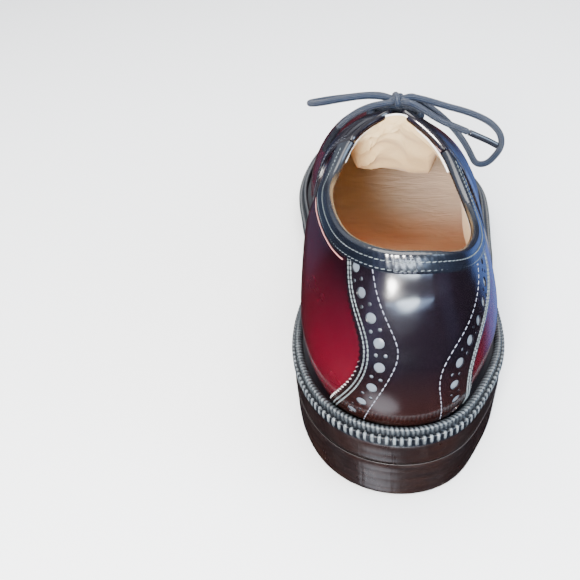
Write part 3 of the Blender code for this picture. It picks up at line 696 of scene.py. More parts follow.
def polished_leather(name, colour, deep, painted_low_reflection, roughness, coat, reflection_heights):
    """Glossy smooth leather: faint ripples, a mottled colour and a warmer tone low down, which is a painted
    reflection.
    """
    made = start(name)
    mottle = made.spread(made.noise(38, 2), 0.35, 0.68)
    # Painted reflection: the share of the warmer low colour, growing towards the bottom
    lower = made.spread(made.part(made.space, "Z"), *reflection_heights)
    smear = made.noise(60, 2, stretch=(1.0, 0.6, 1.6))
    ripple = made.noise(130, 1)
    return made.shade(
        Base_Color=made.mix(lower, made.mix(mottle, colour, deep), painted_low_reflection),
        Roughness=made.spread(smear, 0.3, 0.75, roughness * 0.75, roughness * 1.5),
        Normal=made.bump(ripple, 0.0003, 0.4),
        Coat_Normal=made.bump(ripple, 0.0003, 0.3),
        Coat_Weight=coat,
        Coat_Roughness=0.13,
        Coat_IOR=1.5,
    )


def lining_leather(name, colour, deep, roughness=0.6, pale=None):
    """Matt lining: soft stains, small pores and shallow wrinkles. Pale is a painted highlight, a paler colour
    towards the toe.
    """
    made = start(name)
    base = made.mix(made.spread(made.noise(45, 5, 0.6, distortion=0.4), 0.35, 0.75), colour, deep)
    if pale:
        painted_highlight_colour, begin, full = pale
        # Painted highlight: paler towards the toe
        base = made.mix(made.spread(made.part(made.space, "Y"), begin, full), base, painted_highlight_colour)
    wrinkle = made.noise(130, 3, stretch=(0.5, 1.4, 1.0), distortion=0.8)
    return made.shade(
        Base_Color=base,
        Roughness=roughness,
        Sheen_Weight=0.15,
        Normal=made.bump(made.noise(1400, 2, 0.6), 0.00006, 0.4, Normal=made.bump(wrinkle, 0.0016, 0.5)),
    )


def dusty_sheened_black(name, colour, dusty_sheen, roughness=0.32):
    """Black welt leather that is lighter where its attribute is high: partly dust and wear, partly a painted
    highlight on the raised tops.
    """
    made = start(name)
    reader = made.new("ShaderNodeAttribute")
    reader.attribute_name = "raised"
    patchy = made.spread(made.noise(420, 4, 0.6), 0.3, 0.7, 0.35, 1.0)
    # How much lighter: partly dust, partly a painted highlight, broken into patches
    dust_and_sheen_share = made.maths("MULTIPLY", reader.outputs["Fac"], patchy)
    return made.shade(
        Base_Color=made.mix(dust_and_sheen_share, colour, dusty_sheen),
        Roughness=made.spread(dust_and_sheen_share, 0, 1, roughness, roughness + 0.15),
        Coat_Weight=0.25,
        Coat_Roughness=0.2,
        Normal=made.bump(made.noise(1100, 4, 0.65), 0.00012, 0.5),
    )


def sole_edge(name, colour, deep, warm, roughness=0.3, streak=(1.0, 1.0, 14.0)):
    """Waxed sole and heel edge, with fine level layers, upright streaks and patchy warmth."""
    made = start(name)
    patch = made.spread(made.noise(30, 4, 0.6), 0.35, 0.7)
    layer = made.spread(made.noise(60, 3, stretch=streak), 0.3, 0.8)
    rub = made.noise(110, 5, 0.6, (1.0, 1.0, 0.35))
    fibre = made.bump(made.noise(260, 4, 0.6, (1.0, 1.0, 6.0)), 0.00006, 0.15)
    streaks = made.bump(made.noise(420, 3, 0.6, (1.0, 1.0, 0.05)), 0.0003, 0.5, Normal=fibre)
    return made.shade(
        Base_Color=made.mix(layer, made.mix(patch, colour, warm), deep),
        Roughness=made.spread(rub, 0.3, 0.75, roughness * 0.7, roughness * 1.7),
        Coat_Weight=0.5,
        Coat_Roughness=0.16,
        Normal=streaks,
        Coat_Normal=streaks,
    )


def thread(name, colour, deep):
    made = start(name)
    return made.shade(
        Base_Color=made.mix(made.spread(made.noise(300, 3, 0.6), 0.35, 0.7), colour, deep),
        Roughness=0.55,
        Normal=made.bump(made.noise(3000, 2), 0.0001, 0.5),
    )


def waxed_lace(name, colour, painted_sheen_colour):
    """A round waxed lace: a fine braid in bump and colour along the lace's own UV map. The lighter colour on
    the braid's raised strands is a painted sheen.
    """
    made = start(name)
    uv = made.new("ShaderNodeUVMap")
    uv.uv_map = "along"
    along = made.maths("MULTIPLY", made.part(uv.outputs["UV"], "X"), math.tau * BRAID_ALONG)
    around = made.part(uv.outputs["UV"], "Y")
    strands = [made.maths("SINE", made.maths("MULTIPLY_ADD", around, math.tau * BRAID_ROUND * way, along))
               for way in (1, -1)]
    braid = made.maths("MULTIPLY", *strands)
    # Painted sheen: lighter colour on the braid's raised strands
    return made.shade(
        Base_Color=made.mix(made.spread(braid, -0.6, 0.8), colour, painted_sheen_colour),
        Roughness=0.42,
        Sheen_Weight=0.08,
        Normal=made.bump(braid, 0.00016, 0.8),
    )


def plain(name, colour, roughness, coat=0.0):
    made = start(name)
    deep = tuple(c * 0.85 for c in colour)
    return made.shade(
        Base_Color=made.mix(made.spread(made.noise(60, 3), 0.3, 0.7), colour, deep),
        Roughness=roughness,
        Coat_Weight=coat,
        Normal=made.bump(made.noise(700, 3), 0.00005, 0.3),
    )


def keep(thing, slot, *nodes_replaced):
    """Joins a piece to the shoe's body and hides the imported parts it replaces. Slot, the name of its
    finish, is not used.
    """
    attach(thing, "root")
    if nodes_replaced:
        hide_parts(*nodes_replaced)


build_camera()

# The third colour of each polished leather is a painted reflection, warmer low down
BURGUNDY = polished_leather(
    "burgundy_leather", (0.012, 0.0006, 0.003), (0.007, 0.0005, 0.0025), (0.060, 0.0006, 0.0055),
    roughness=0.2, coat=0.55, reflection_heights=(80 * MM, 50 * MM),
)
BLACK = polished_leather(
    "black_leather", (0.0050, 0.0028, 0.0050), (0.0025, 0.0016, 0.0030), (0.015, 0.0045, 0.0032),
    roughness=0.17, coat=0.7, reflection_heights=(58 * MM, 30 * MM),
)
BINDING = polished_leather(
    "binding_leather", (0.005, 0.007, 0.012), (0.003, 0.004, 0.007), (0.005, 0.006, 0.009),
    roughness=0.2, coat=0.5, reflection_heights=(50 * MM, 30 * MM),
)
LINING = lining_leather("lining_leather", (0.68, 0.52, 0.29), (0.54, 0.37, 0.17))
LINING_EDGE = plain("lining_edge", (0.88, 0.87, 0.83), 0.6)
# The sock's paler colour towards the toe is a painted highlight
SOCK = lining_leather(
    "sock_leather", (0.92, 0.56, 0.38), (0.88, 0.46, 0.29), 0.5, ((0.92, 0.74, 0.58), 150 * MM, 185 * MM),
)
RAW = plain("raw_edge", (0.24, 0.15, 0.16), 0.7)
BACKING = plain("hole_backing", (0.105, 0.125, 0.15), 0.3, 0.3)
# The welt's second colour marks dust and a painted highlight on its raised tops
WELTING = dusty_sheened_black("welt_leather", (0.0025, 0.0035, 0.006), (0.17, 0.195, 0.21))
SOLE = sole_edge("sole_leather", (0.007, 0.0035, 0.0035), (0.004, 0.0025, 0.003), (0.018, 0.006, 0.0035))
UNDER = sole_edge(
    "sole_bottom", (0.10, 0.05, 0.03), (0.06, 0.03, 0.02), (0.14, 0.07, 0.04), 0.45, streak=(6.0, 1.0, 1.0),
)
JOINT_LINE = plain("joint_line", (0.022, 0.017, 0.016), 0.5)
THREAD = thread("stitch_thread", (0.12, 0.145, 0.155), (0.06, 0.075, 0.08))
PALE_THREAD = thread("pale_thread", (0.25, 0.27, 0.33), (0.14, 0.15, 0.19))
DARK_THREAD = thread("dark_thread", (0.04, 0.045, 0.06), (0.02, 0.022, 0.03))
TAN_THREAD = thread("tan_thread", (0.62, 0.30, 0.28), (0.42, 0.18, 0.17))
LACE = waxed_lace("waxed_lace", (0.0016, 0.005, 0.014), (0.005, 0.015, 0.040))
AGLET = plain("aglet", (0.012, 0.013, 0.018), 0.2, 0.5)


# The upper and its lining

def eyelet_spots(side):
    """The centre, axis, radius, half depth and u of each eyelet hole of one facing."""
    u = np.linspace(FACING_U, THROAT_U, 201)
    gone = gone_along(wall(side * u, 1))
    spots = []
    for pair in range(EYELET_PAIRS):
        at = side * float(np.interp(EYELET_FIRST + pair * EYELET_PITCH, gone, u))
        v = float(down(at, EYELET_INSET))
        spots.append((wall(at, v), normal(at, v), EYELET_DIAMETER / 2, 8 * MM, at))
    return spots


EYELETS = {side: eyelet_spots(side) for side in (-1, 1)}


def ridge_smooth(thing, width, rounds):
    """Softens the fold where the two sides meet over the toe."""
    u = np.linspace(THROAT_U, 1, 400)
    ridge = wall(u, 1)
    ridge[:, 0] = COLUMN["ridge"](u) * BALL_WIDTH
    start = ridge[0, 1]
    group = thing.vertex_groups.new(name="ridge")
    for i, point in enumerate(places_of(thing.data)):
        if point[1] > start:
            near = np.sqrt(((ridge - point) ** 2).sum(1).min())
            share = float(smooth_step(1 - near / width) * smooth_step((point[1] - start) / width))
            if share > 0:
                group.add([i], share, "REPLACE")
    soft = thing.modifiers.new("soft", "SMOOTH")
    soft.factor = 0.5
    soft.iterations = rounds
    soft.vertex_group = "ridge"
    bake(thing)
    thing.vertex_groups.clear()
    thing.data.shade_smooth()


# Flex creases over the vamp: where each crosses the middle, in mm from the heel, its depth and width
# in mm, its slant and its bend
CREASES = ((196, 0.50, 3.2, 0.10, 0.006), (204, 0.65, 3.6, -0.06, 0.009), (212.5, 0.38, 2.8, 0.05, 0.007))


def creases(x, y, z):
    """How far the vamp's soft flex creases stand up or down, in mm, for a place in mm."""
    total = np.zeros_like(x)
    for at, depth, width, slant, bend in CREASES:
        off = y - at - slant * x + bend * x**2 - 0.7 * np.sin(0.19 * x + at)
        total -= depth * np.exp(-((off / width) ** 2))
        total += 0.5 * depth * np.exp(-((np.abs(off) / width - 1.9) ** 2))
    return total * (0.75 + 0.25 * np.sin(0.11 * x + 0.6)) * smooth_step((z - 36) / 14)


def places_of(mesh):
    co = np.empty(len(mesh.vertices) * 3)
    mesh.vertices.foreach_get("co", co)
    return co.reshape(-1, 3)


def crease(thing):
    """Puts the flex creases into a mesh."""
    co = places_of(thing.data)
    co[:, 2] += creases(*(co / MM).T) * MM
    thing.data.vertices.foreach_set("co", co.ravel())
    thing.data.update()


# The soft padding of the quarters' lining, at its thickest on the lateral side, and the medial side's share
PADDING = 6 * MM
MEDIAL_PADDING = 0.35


def padding(u, v):
    """How far the quarters' soft lining stands in from the outer leather."""
    along = smooth_step((np.abs(u) - 0.05) / 0.12) * (1 - smooth_step((np.abs(u) - 0.36) / 0.1))
    up = smooth_step((v - 0.1) / 0.35) * (1 - smooth_step((v - 0.62) / 0.36))
    return PADDING * np.where(u > 0, 1.0, MEDIAL_PADDING) * along * up


def build_upper():
    columns, rows = 400, 73
    u = np.linspace(-1, 1, columns, endpoint=False)[:, None]
    v = 1 - (1 - np.linspace(0, 1, rows)) ** 1.25
    outer = wall(u, v)
    # from the throat on, both sides share the ridge's points
    far = np.abs(u[:, 0]) >= THROAT_U
    shared = -np.abs(u[far, 0])
    outer[far, -1] = wall(shared, 1)
    outer[far, -1, 0] = COLUMN["ridge"](shared) * BALL_WIDTH
    out = point_normals(outer, closed=True)
    twin = -np.arange(columns) % columns
    out[far, -1] = out[far, -1] + out[twin[far], -1]
    inner = outer - unit(out) * (WALL + padding(u, v))[..., None]
    finish = [BURGUNDY, LINING, RAW]
    upper = add_shell("upper_leather", outer, inner, finish, closed=True, weld=WELD, open_top=~far)
    ridge_smooth(upper, 14 * MM, 40)
    crease(upper)
    punch(upper, [spot[:4] for side in (-1, 1) for spot in EYELETS[side]])
    keep(upper, "burgundy_leather", "upper")


# Overlays: counter and saddles

def tooth(distance, pitch, size):
    """A pinked edge: out and back with the distance along it."""
    share = (distance / pitch) % 1
    return size * (1 - 2 * np.abs(2 * share - 1))


def overlay_grid(low, high, top, rows, across, teeth):
    """The u and v of an overlay's grid. Low, high and top give its edges, and teeth their pinking."""
    t = np.linspace(0, 1, rows)
    edges = []
    for curve, sign in ((low, -1), (high, 1)):
        u = curve(t)
        v = foot(u) + (top(u) - foot(u)) * t
        pinked = -tooth(gone_along(wall(u, v)), *teeth) if teeth else 0 * MM
        edges.append([beside(u, v, sign * shift) for shift in (pinked, 0.6 * MM, 1.4 * MM)])
    (u_low, v_low), (u_high, v_high) = edges[0][-1], edges[1][-1]
    columns = list(edges[0])
    for s in np.linspace(0, 1, across)[1:-1]:
        u = u_low * (1 - s) + u_high * s
        mixed = v_low * (1 - s) + v_high * s
        edge = np.clip(1 - 6 * min(s, 1 - s), 0, 1)
        columns.append((u, (foot(u) + (top(u) - foot(u)) * t) * (1 - edge) + mixed * edge))
    return np.array(columns + edges[1][::-1]).transpose(1, 0, 2)


def curve_of(rows, side):
    name = "lateral" if side > 0 else "medial"
    curve = Curve([(row.v, getattr(row, name)) for row in rows])
    return lambda t: side * curve(t)


def foot(u):
    """The v of an overlay's lower edge."""
    return np.full_like(u, 0.006)


# The counter's soft swell: its height, where it begins, is full, begins to end and ends below the topline
SWELL = 1.0 * MM
SWELL_SPAN = (3 * MM, 15 * MM, 15 * MM, 33 * MM)
SWELL_HALF_WIDTH = 0.11


def shoulder(u, v):
    """The counter's soft swell under the binding, which catches the light."""
    below = (1 - v) * BACK_HEIGHT
    begin, full, last, end = SWELL_SPAN
    swell = smooth_step((below - begin) / (full - begin)) * (1 - smooth_step((below - last) / (end - last)))
    return SWELL * swell * np.exp(-((u / SWELL_HALF_WIDTH) ** 4))


def folded_edge(u, v):
    """The folded edge over the facing: a roll and a strip inside, and what lies under it."""
    out, top = normal(u, v), wall(u, v)
    rise = unit(top - wall(u, v - EDGE_STEP * 4))
    middle = (OVERLAY_LIFT - WALL) / 2
    half = (OVERLAY_LIFT + WALL) / 2 + 0.25 * MM
    turns = []
    for angle in np.linspace(0, math.pi, 9)[1:]:
        away = middle + half * math.cos(angle)
        turns.append(top + out * away + rise * (0.2 * MM + 1.1 * MM * math.sin(angle)))
    turns.append(wall(u, down(u, 1.2 * MM)) - out * (WALL + 0.15 * MM))
    under = [top + out * 0.12 * MM] * 7 + [top - out * (WALL - 0.3 * MM)] * 2
    return np.stack(turns, axis=1), np.stack(under, axis=1)


def build_overlay(name, node, edges, top, rows, across, cuts, teeth=None, swell=None):
    """A piece of black leather over the upper. Without pinked teeth, its top is folded over the facing."""
    u, v = overlay_grid(*edges, top, rows, across, teeth)
    v = np.clip(v, 0, 1)
    lift = np.full(u.shape, OVERLAY_LIFT)
    if swell:
        lift += swell(u, v)
    lift[[0, -1]] -= 0.28 * MM
    lift[[1, -2]] -= 0.04 * MM
    outer = skin(u, v, lift)
    inner = skin(u, v, np.full(u.shape, 0.12 * MM))
    if not teeth:
        roll, under = folded_edge(u[:, -1], v[:, -1])
        outer = np.concatenate([outer, roll], axis=1)
        inner = np.concatenate([inner, under], axis=1)
    piece = add_shell(name, outer, inner, [BLACK, BLACK, RAW if teeth else BLACK])
    punch(piece, cuts)
    keep(piece, "black_leather", node)


# The counter's top edge under the binding, the pinked edge's pitch and size, and the holes
COUNTER_TOP = 2.5 * MM
PINK = (2.05 * MM, 0.42 * MM)
BIG_HOLE = 1.8 * MM
SMALL_HOLE = 0.66 * MM
HOLE_PITCH = 8.2 * MM
SMALL_APART = 1.5 * MM
# The lowest v of a stitch
LOWEST_STITCH = 0.004
# How near the binding the counter's lines end, and where the holes start on each side
LINE_END = 0.955
HOLES_FROM = {-1: 0.07, 1: 0.045}
HOLES_TO = 0.925


def counter_top(u):
    return down(u, COUNTER_TOP)


def counter_line(rows, side, low=0.012, high=LINE_END):
    """The u and v of a line of the counter, from its foot to the binding."""
    t = np.linspace(low, high, 301)
    u = curve_of(rows, side)(t)
    return u, foot(u) + (counter_top(u) - foot(u)) * t


def hole_spots():
    """The counter's pierced holes: a big one, then a pair of small ones, all the way up each side."""
    spots = []
    for side, first in HOLES_FROM.items():
        u, v = counter_line(HOLE_LINE, side, first, HOLES_TO)
        gone = gone_along(wall(u, v))
        count = round(gone[-1] / HOLE_PITCH)
        pitch = gone[-1] / count
        pairs = [beside(u, v, off) for off in (-SMALL_APART, SMALL_APART)]
        for k in range(count + 1):
            place = k * pitch
            spots.append((np.interp(place, gone, u), np.interp(place, gone, v), BIG_HOLE))
            if k < count:
                between = place + pitch / 2
                spots += [(*(np.interp(between, gone, line) for line in pair), SMALL_HOLE) for pair in pairs]
    return spots


def build_backing(spots):
    """The light underlay that shows through the pierced holes: a low dome behind each."""
    sides = 20
    points, faces = [], []
    angle = np.linspace(0, 2 * math.pi, sides, endpoint=False)[:, None]
    for u, v, radius in spots:
        out = normal(u, v)
        centre = wall(u, v) + out * 0.45 * MM
        side = unit(np.cross(out, (0.0, 0.0, 1.0)))
        round_it = side * np.cos(angle) + np.cross(side, out) * np.sin(angle)
        tip = sum(map(len, points))
        points.append([centre + out * 0.30 * MM])
        for share, high in ((0.6, 0.2), (1.15, 0.0)):
            points.append(centre + round_it * radius * share + out * high * MM)
        first, second = tip + 1, tip + 1 + sides
        for k in range(sides):
            n = (k + 1) % sides
            faces += [(tip, first + k, first + n), (first + k, second + k, second + n, first + n)]
    keep(add_mesh("hole_backing", np.concatenate(points), faces, BACKING), "black_leather")


def build_counter():
    spots = hole_spots()
    cuts = [(skin(u, v, OVERLAY_LIFT + shoulder(u, v)), normal(u, v), size, 3 * MM) for u, v, size in spots]
    edges = [curve_of(COUNTER_EDGE, side) for side in (-1, 1)]
    build_overlay("counter_leather", "counter", edges, counter_top, 260, 64, cuts, PINK, shoulder)
    build_backing(spots)
    edge_rows, inner_rows = [], []
    for side in (-1, 1):
        u, v = counter_line(COUNTER_EDGE, side)
        for distance in (1.75 * MM, 3.0 * MM):
            su, sv = beside(u, v, side * distance)
            sv = np.clip(sv, LOWEST_STITCH, 1)
            edge_rows.append(stitch_places(su, sv, OVERLAY_LIFT + shoulder(su, sv), 1.5 * MM))
        u, v = counter_line(INNER_LINE, side)
        inner_rows.append(stitch_places(u, v, OVERLAY_LIFT + shoulder(u, v), 2.2 * MM))
    add_stitches("counter_edge_stitches", edge_rows, 1.46 * MM, 0.62 * MM, THREAD)
    add_stitches("counter_inner_stitches", inner_rows, 1.7 * MM, 0.34 * MM, PALE_THREAD)


def build_saddle(side):
    name = "lateral" if side > 0 else "medial"
    edges = [curve_of(table, side) for table in (SADDLE_BACK_EDGE, SADDLE_FRONT_EDGE)][::side]
    cuts = [spot[:4] for spot in EYELETS[side]]
    build_overlay("saddle_leather_" + name, "saddle_" + name, edges, np.ones_like, 200, 60, cuts)
    rows = []
    for table, sign in ((SADDLE_BACK_EDGE, -side), (SADDLE_FRONT_EDGE, side)):
        t = np.linspace(0.012, 0.97, 241)
        u = curve_of(table, side)(t)
        for distance in (1.8 * MM, 3.2 * MM):
            su, sv = beside(u, foot(u) + (1 - foot(u)) * t, sign * distance)
            rows.append(stitch_places(su, np.clip(sv, LOWEST_STITCH, 1), OVERLAY_LIFT, 1.9 * MM))
    u = side * np.linspace(FACING_U + 0.005, THROAT_U - 0.004, 201)
    for distance in (2.2 * MM, 15 * MM):
        rows.append(stitch_places(u, down(u, distance), OVERLAY_LIFT, 1.9 * MM))
    add_stitches("saddle_stitches_" + name, rows, 1.45 * MM, 0.4 * MM, DARK_THREAD)


# The binding over the collar

# A distance down the wall and a lift, both in mm, from the outside's lower edge to the roll
BINDING_OUTSIDE = (
    (6.0, 0.2), (6.0, 0.95), (5.8, 1.24), (5.3, 1.4), (4.4, 1.44), (3.3, 1.4), (2.2, 1.28), (1.2, 1.12),
)
# The same inside the shoe, where the lift is off the wall's inner face
BINDING_WITHIN = ((0.4, 0.38), (0.9, 0.36), (1.2, 0.3), (1.35, 0.15), (1.4, 0.02))
BINDING_CROWN = 1.0 * MM


def binding_span(share, distance):
    """The u along the binding at a distance down the wall: it ends at the saddles' rear edges."""
    ends = []
    for side in (-1, 1):
        edge = curve_of(SADDLE_BACK_EDGE, side)
        u = float(edge(1.0))
        for _ in range(3):
            u = float(edge(down(u, distance)))
        ends.append(u - side * 0.001)
    return np.where(share < 0, -share * ends[0], share * ends[1])


def pucker(u):
    """How the stitches pull the binding in and out along the collar."""
    gone = gone_along(wall(u, 1))
    return 0.05 * MM * np.cos(2 * np.pi * gone / (2 * MM)) + 0.07 * MM * np.sin(gone / (9 * MM))


def build_binding():
    share = np.linspace(-1, 1, 420)
    lines = []
    for distance, lift in BINDING_OUTSIDE:
        u = binding_span(share, distance * MM)
        lines.append(skin(u, down(u, distance * MM), lift * MM + pucker(u) * (lift > 1)))
    u = binding_span(share, 0.0)
    top, out = wall(u, 1), normal(u, 1 - EDGE_STEP)
    rise = unit(top - wall(u, 1 - 4 * EDGE_STEP))
    half_out = WALL / 2 + 1.0 * MM
    half_in = WALL / 2 + 0.4 * MM
    for angle in np.linspace(0.12, math.pi - 0.12, 13):
        away = math.cos(angle) * (half_out if math.cos(angle) > 0 else half_in) - WALL / 2
        lines.append(top + out * (away + pucker(u))[:, None] + rise * (BINDING_CROWN * math.sin(angle)))
    for distance, lift in BINDING_WITHIN:
        lines.append(skin(u, down(u, distance * MM), -WALL - lift * MM))
    binding = add_sheet("collar_binding_leather", np.stack(lines, axis=1), BINDING, sharp=70)
    keep(binding, "black_leather", "collar_binding")
    rows = []
    for distance in (1.9 * MM, 4.7 * MM):
        u = binding_span(np.linspace(-0.985, 0.985, 600), distance)
        rows.append(stitch_places(u, down(u, distance), BINDING_LIFT - 0.05 * MM, 2.0 * MM))
    add_stitches("binding_stitches", rows, 1.45 * MM, 0.36 * MM, THREAD, 0.12)


def build_box_stitch():
    """The small stitched box on the binding at the centre of the back."""
    half = 0.0275
    low, high = 1.0 * MM, 5.2 * MM
    sides = [(np.linspace(-half, half, 60), distance) for distance in (low, high)]
    sides += [(end, np.linspace(low, high, 30)) for end in (-half, half)]
    rows = [stitch_places(u, down(u, distance), 1.42 * MM, 1.35 * MM) for u, distance in sides]
    add_stitches("box_stitch", rows, 1.2 * MM, 0.42 * MM, DARK_THREAD)


def build_tan_line():
    """The thin line of tan thread under the binding, on the quarters."""
    rows = []
    for side, low in ((-1, 0.163), (1, 0.262)):
        u = side * np.linspace(low, 0.415, 300)
        rows.append(stitch_places(u, down(u, 7.6 * MM), 0.12 * MM, 1.15 * MM))
    add_stitches("quarter_line", rows, 1.2 * MM, 0.5 * MM, TAN_THREAD)


def build_lining_edge():
    """The lining's pale edge along the inside of the binding."""
    u = binding_span(np.linspace(-0.99, 0.99, 300), 0.0)
    edge = skin(u, down(u, 2.1 * MM), -WALL - 0.3 * MM)
    keep(add_tube("lining_edge", edge, 0.75 * MM, LINING_EDGE, 8), "lining_leather")


# The welt, sole, heel and insole

RIB_FROM_FEATHER = 2.4 * MM
RIB_PITCH = 1.75 * MM
BAR_PITCH = 2.55 * MM


def build_welt():
    """The storm welt: its twisted rib, a groove, and a row of bars round its edge."""
    u, gone, total = even_round(2000, WELT_AT_HEEL)
    reach = welt_reach(u)
    y = feather(u)[:, 1]
    round_it = 2 * np.pi * gone / total
    bar = smooth_step((np.cos(round_it * round(total / BAR_PITCH)) + 0.05) / 0.75)
    # The third value of each line is how much lighter the welt is there: partly dust and wear, partly a
    # painted highlight on the tops of the rib's beads and the bars
    lines, raised = [], []

    def line(out, up, dusty_sheen=0):
        lines.append(at_height(round_line(u, out), welt_base(y) + up))
        raised.append(np.broadcast_to(dusty_sheen, u.shape))

    line(-1.0 * MM, 0)
    line(-1.0 * MM, WELT_THICKNESS)
    line(1.9 * MM, WELT_THICKNESS)
    centre = RIB_FROM_FEATHER + RIB_THICKNESS / 2
    slope = lean(u) * RIB_HEIGHT
    foot_height = WELT_THICKNESS + 0.1 * MM
    for angle in np.linspace(math.pi, 0, 9):
        bead = 0.5 + 0.5 * np.cos(round_it * round(total / RIB_PITCH) + angle * 0.9)
        size = RIB_THICKNESS / 2 - 0.1 * MM + 0.24 * MM * bead
        out = centre + slope * (0.35 + 0.65 * math.sin(angle)) + size * math.cos(angle)
        if angle in (math.pi, 0):
            line(out, foot_height)
        up = RIB_HEIGHT + WELT_THICKNESS - RIB_THICKNESS / 2 + size * math.sin(angle)
        line(out, up, bead * math.sin(angle) ** 0.7 * 0.95)
    line(out - slope * 0.3, foot_height)
    groove = centre + RIB_THICKNESS / 2 + 0.25 * MM
    depth = 0.5 * MM * (1 - bar)
    start = np.minimum(groove + 0.55 * MM, reach - 1.0 * MM)
    line(np.minimum(groove + 0.2 * MM, reach - 1.2 * MM), WELT_THICKNESS - 0.25 * MM)
    line(start, WELT_THICKNESS + 0.05 * MM - depth * 0.6, bar * 0.35)
    line(start * 0.55 + reach * 0.45 - 0.15 * MM, WELT_THICKNESS + 0.35 * MM - depth, bar * 0.9)
    line(reach - 0.35 * MM, WELT_THICKNESS + 0.3 * MM - depth, bar)
    line(reach - 0.02 * MM - depth * 0.4, WELT_THICKNESS - 0.15 * MM - depth * 0.5, bar)
    line(reach + 0.1 * MM - depth * 0.9, 2.6 * MM, bar * 0.95)
    line(reach + 0.05 * MM - depth * 0.9, 1.6 * MM, bar * 0.7)
    line(reach - 0.1 * MM - depth * 0.3, 0.8 * MM, bar * 0.15)
    line(reach - 0.3 * MM, 0.1 * MM)
    line(reach - 1.2 * MM, 0)
    # The lighter marks, dust and painted highlight, fade towards the toe
    dust_and_sheen_share = 1 - 0.8 * smooth_step((y - 20 * MM) / (60 * MM))
    points = np.stack(lines + lines[:1], axis=1)
    welt = add_sheet("welt_leather_strip", points, WELTING, closed=True, sharp=60)
    add_number(welt, "raised", np.stack(raised + raised[:1], axis=1) * dust_and_sheen_share[:, None])
    keep(welt, "welt_leather", "welt")


def deck_points(u, reach, across):
    """A grid in plan across the shoe, to a distance outside the feather line."""
    share = np.linspace(0, 1, across)[None, :, None]
    return round_line(-u, reach)[:, None] * (1 - share) + round_line(u, reach)[:, None] * share


def add_block(name, grids):
    """A closed block of sole leather from grids of points, each with its finish and whether it is closed."""
    points, faces, slots = [], [], []
    for grid, slot, closed in grids:
        made = grid_faces(*grid.shape[:2], closed, start=sum(map(len, points)))
        points.append(grid.reshape(-1, 3))
        faces.append(made)
        slots.append(np.full(len(made), slot))
    points, faces, slots = map(np.concatenate, (points, faces, slots))
    return add_mesh(name, points, faces, [SOLE, UNDER], slots, weld=WELD, recalc=True, sharp=45)


# The sole's side: a distance in from its edge in mm, and a share of its thickness
SOLE_SIDE = (
    (1.2, 0.0), (0.45, 0.02), (0.12, 0.09), (0.0, 0.2), (0.0, 0.42), (0.06, 0.5), (0.0, 0.58), (0.0, 0.82),
    (0.15, 0.93), (0.5, 0.99), (1.2, 1.0),
)


def build_outsole():
    even = np.linspace(0, 1, 160)
    u = (1 - np.cos(np.pi * even)) / 2 * 0.92 + even * 0.08
    whole = np.concatenate([-u[:0:-1], u[:-1]])
    lines = []
    for inset, share in SOLE_SIDE:
        plan = round_line(whole, welt_reach(whole) - SOLE_SETBACK - inset * MM)
        lines.append(at_height(plan, sole_rise(plan[:, 1]) + share * SOLE_THICKNESS))
    plan = deck_points(u, welt_reach(u) - SOLE_SETBACK - SOLE_SIDE[0][0] * MM, 15)
    bottom, top = (at_height(plan, sole_rise(plan[..., 1]) + up) for up in (0.0, SOLE_THICKNESS))
    side = np.stack(lines, axis=1)
    sole = add_block("outsole_leather", [(side, 0, True), (bottom, 1, False), (top, 0, False)])
    keep(sole, "sole_leather", "outsole")


# The heel's side, with its lifts' joints: a distance in from its edge in mm, and a share of its height
HEEL_SIDE = (
    (1.0, 0.0), (0.3, 0.03), (0.05, 0.1), (0.0, 0.24), (0.06, 0.26), (0.0, 0.28), (0.0, 0.49), (0.06, 0.51),
    (0.0, 0.53), (0.0, 0.74), (0.06, 0.76), (0.0, 0.78), (0.0, 0.94), (0.3, 0.99), (1.0, 1.0),
)
# The heel stops just under the sole
HEEL_GAP = 0.15 * MM


def build_heel():
    u = turn(HEEL_LENGTH / LAST_LENGTH) * np.linspace(0, 1, 70)
    whole = np.concatenate([-u[:0:-1], u])
    across = np.linspace(0, 1, 41)[:, None]
    hollow = BREAST_DEPTH * (1 - (2 * across[:, 0] - 1) ** 2)
    reach = welt_reach(whole) - SOLE_SETBACK
    side, breast = [], []
    for inset, share in HEEL_SIDE:
        plan = round_line(whole, reach - HEEL_TAPER * (1 - share) - inset * MM)
        row = plan[0] * (1 - across) + plan[-1] * across
        row[1:-1, 1] -= (hollow + inset * MM * 0.6)[1:-1]
        for lines, points in ((side, plan), (breast, row)):
            lines.append(at_height(points, (sole_rise(points[:, 1]) - HEEL_GAP) * share))
    grids = [(np.stack(side, axis=1), 0, False), (np.stack(breast, axis=1), 0, False)]
    for share, slot in ((0.0, 1), (1.0, 0)):
        out = welt_reach(u) - SOLE_SETBACK - HEEL_TAPER * (1 - share) - HEEL_SIDE[0][0] * MM
        plan = deck_points(u, out, len(across))
        inset = np.where(np.abs(2 * across[:, 0] - 1) < 0.999, 0.6 * MM, 0)
        plan[..., 1] -= (hollow + inset) * (u / u[-1])[:, None] ** 3
        grids.append((at_height(plan, (sole_rise(plan[..., 1]) - HEEL_GAP) * share), slot, False))
    keep(add_block("heel_leather", grids), "sole_leather", "heel")
    line = round_line(whole, reach - 0.12 * MM)
    path = at_height(line, sole_rise(line[:, 1]) - 0.05 * MM)
    keep(add_tube("heel_joint_line", path, 0.16 * MM, JOINT_LINE, 8), "sole_leather")


def build_insole():
    even = np.linspace(0, 1, 120)
    u = (1 - np.cos(np.pi * even)) / 2 * 0.9 + even * 0.1
    plan = deck_points(u, -WALL - 2 * GAP, 31)
    dish = 0.9 * MM * np.linspace(-1, 1, 31) ** 4
    top = at_height(plan, feather_height(plan[..., 1]) + INSOLE_ABOVE_WELT + dish)
    low = at_height(plan, welt_base(plan[..., 1]) + 0.1 * MM)
    keep(add_shell("insole_sock", low, top, [SOCK], weld=WELD), "lining_leather", "insole")


# The tongue

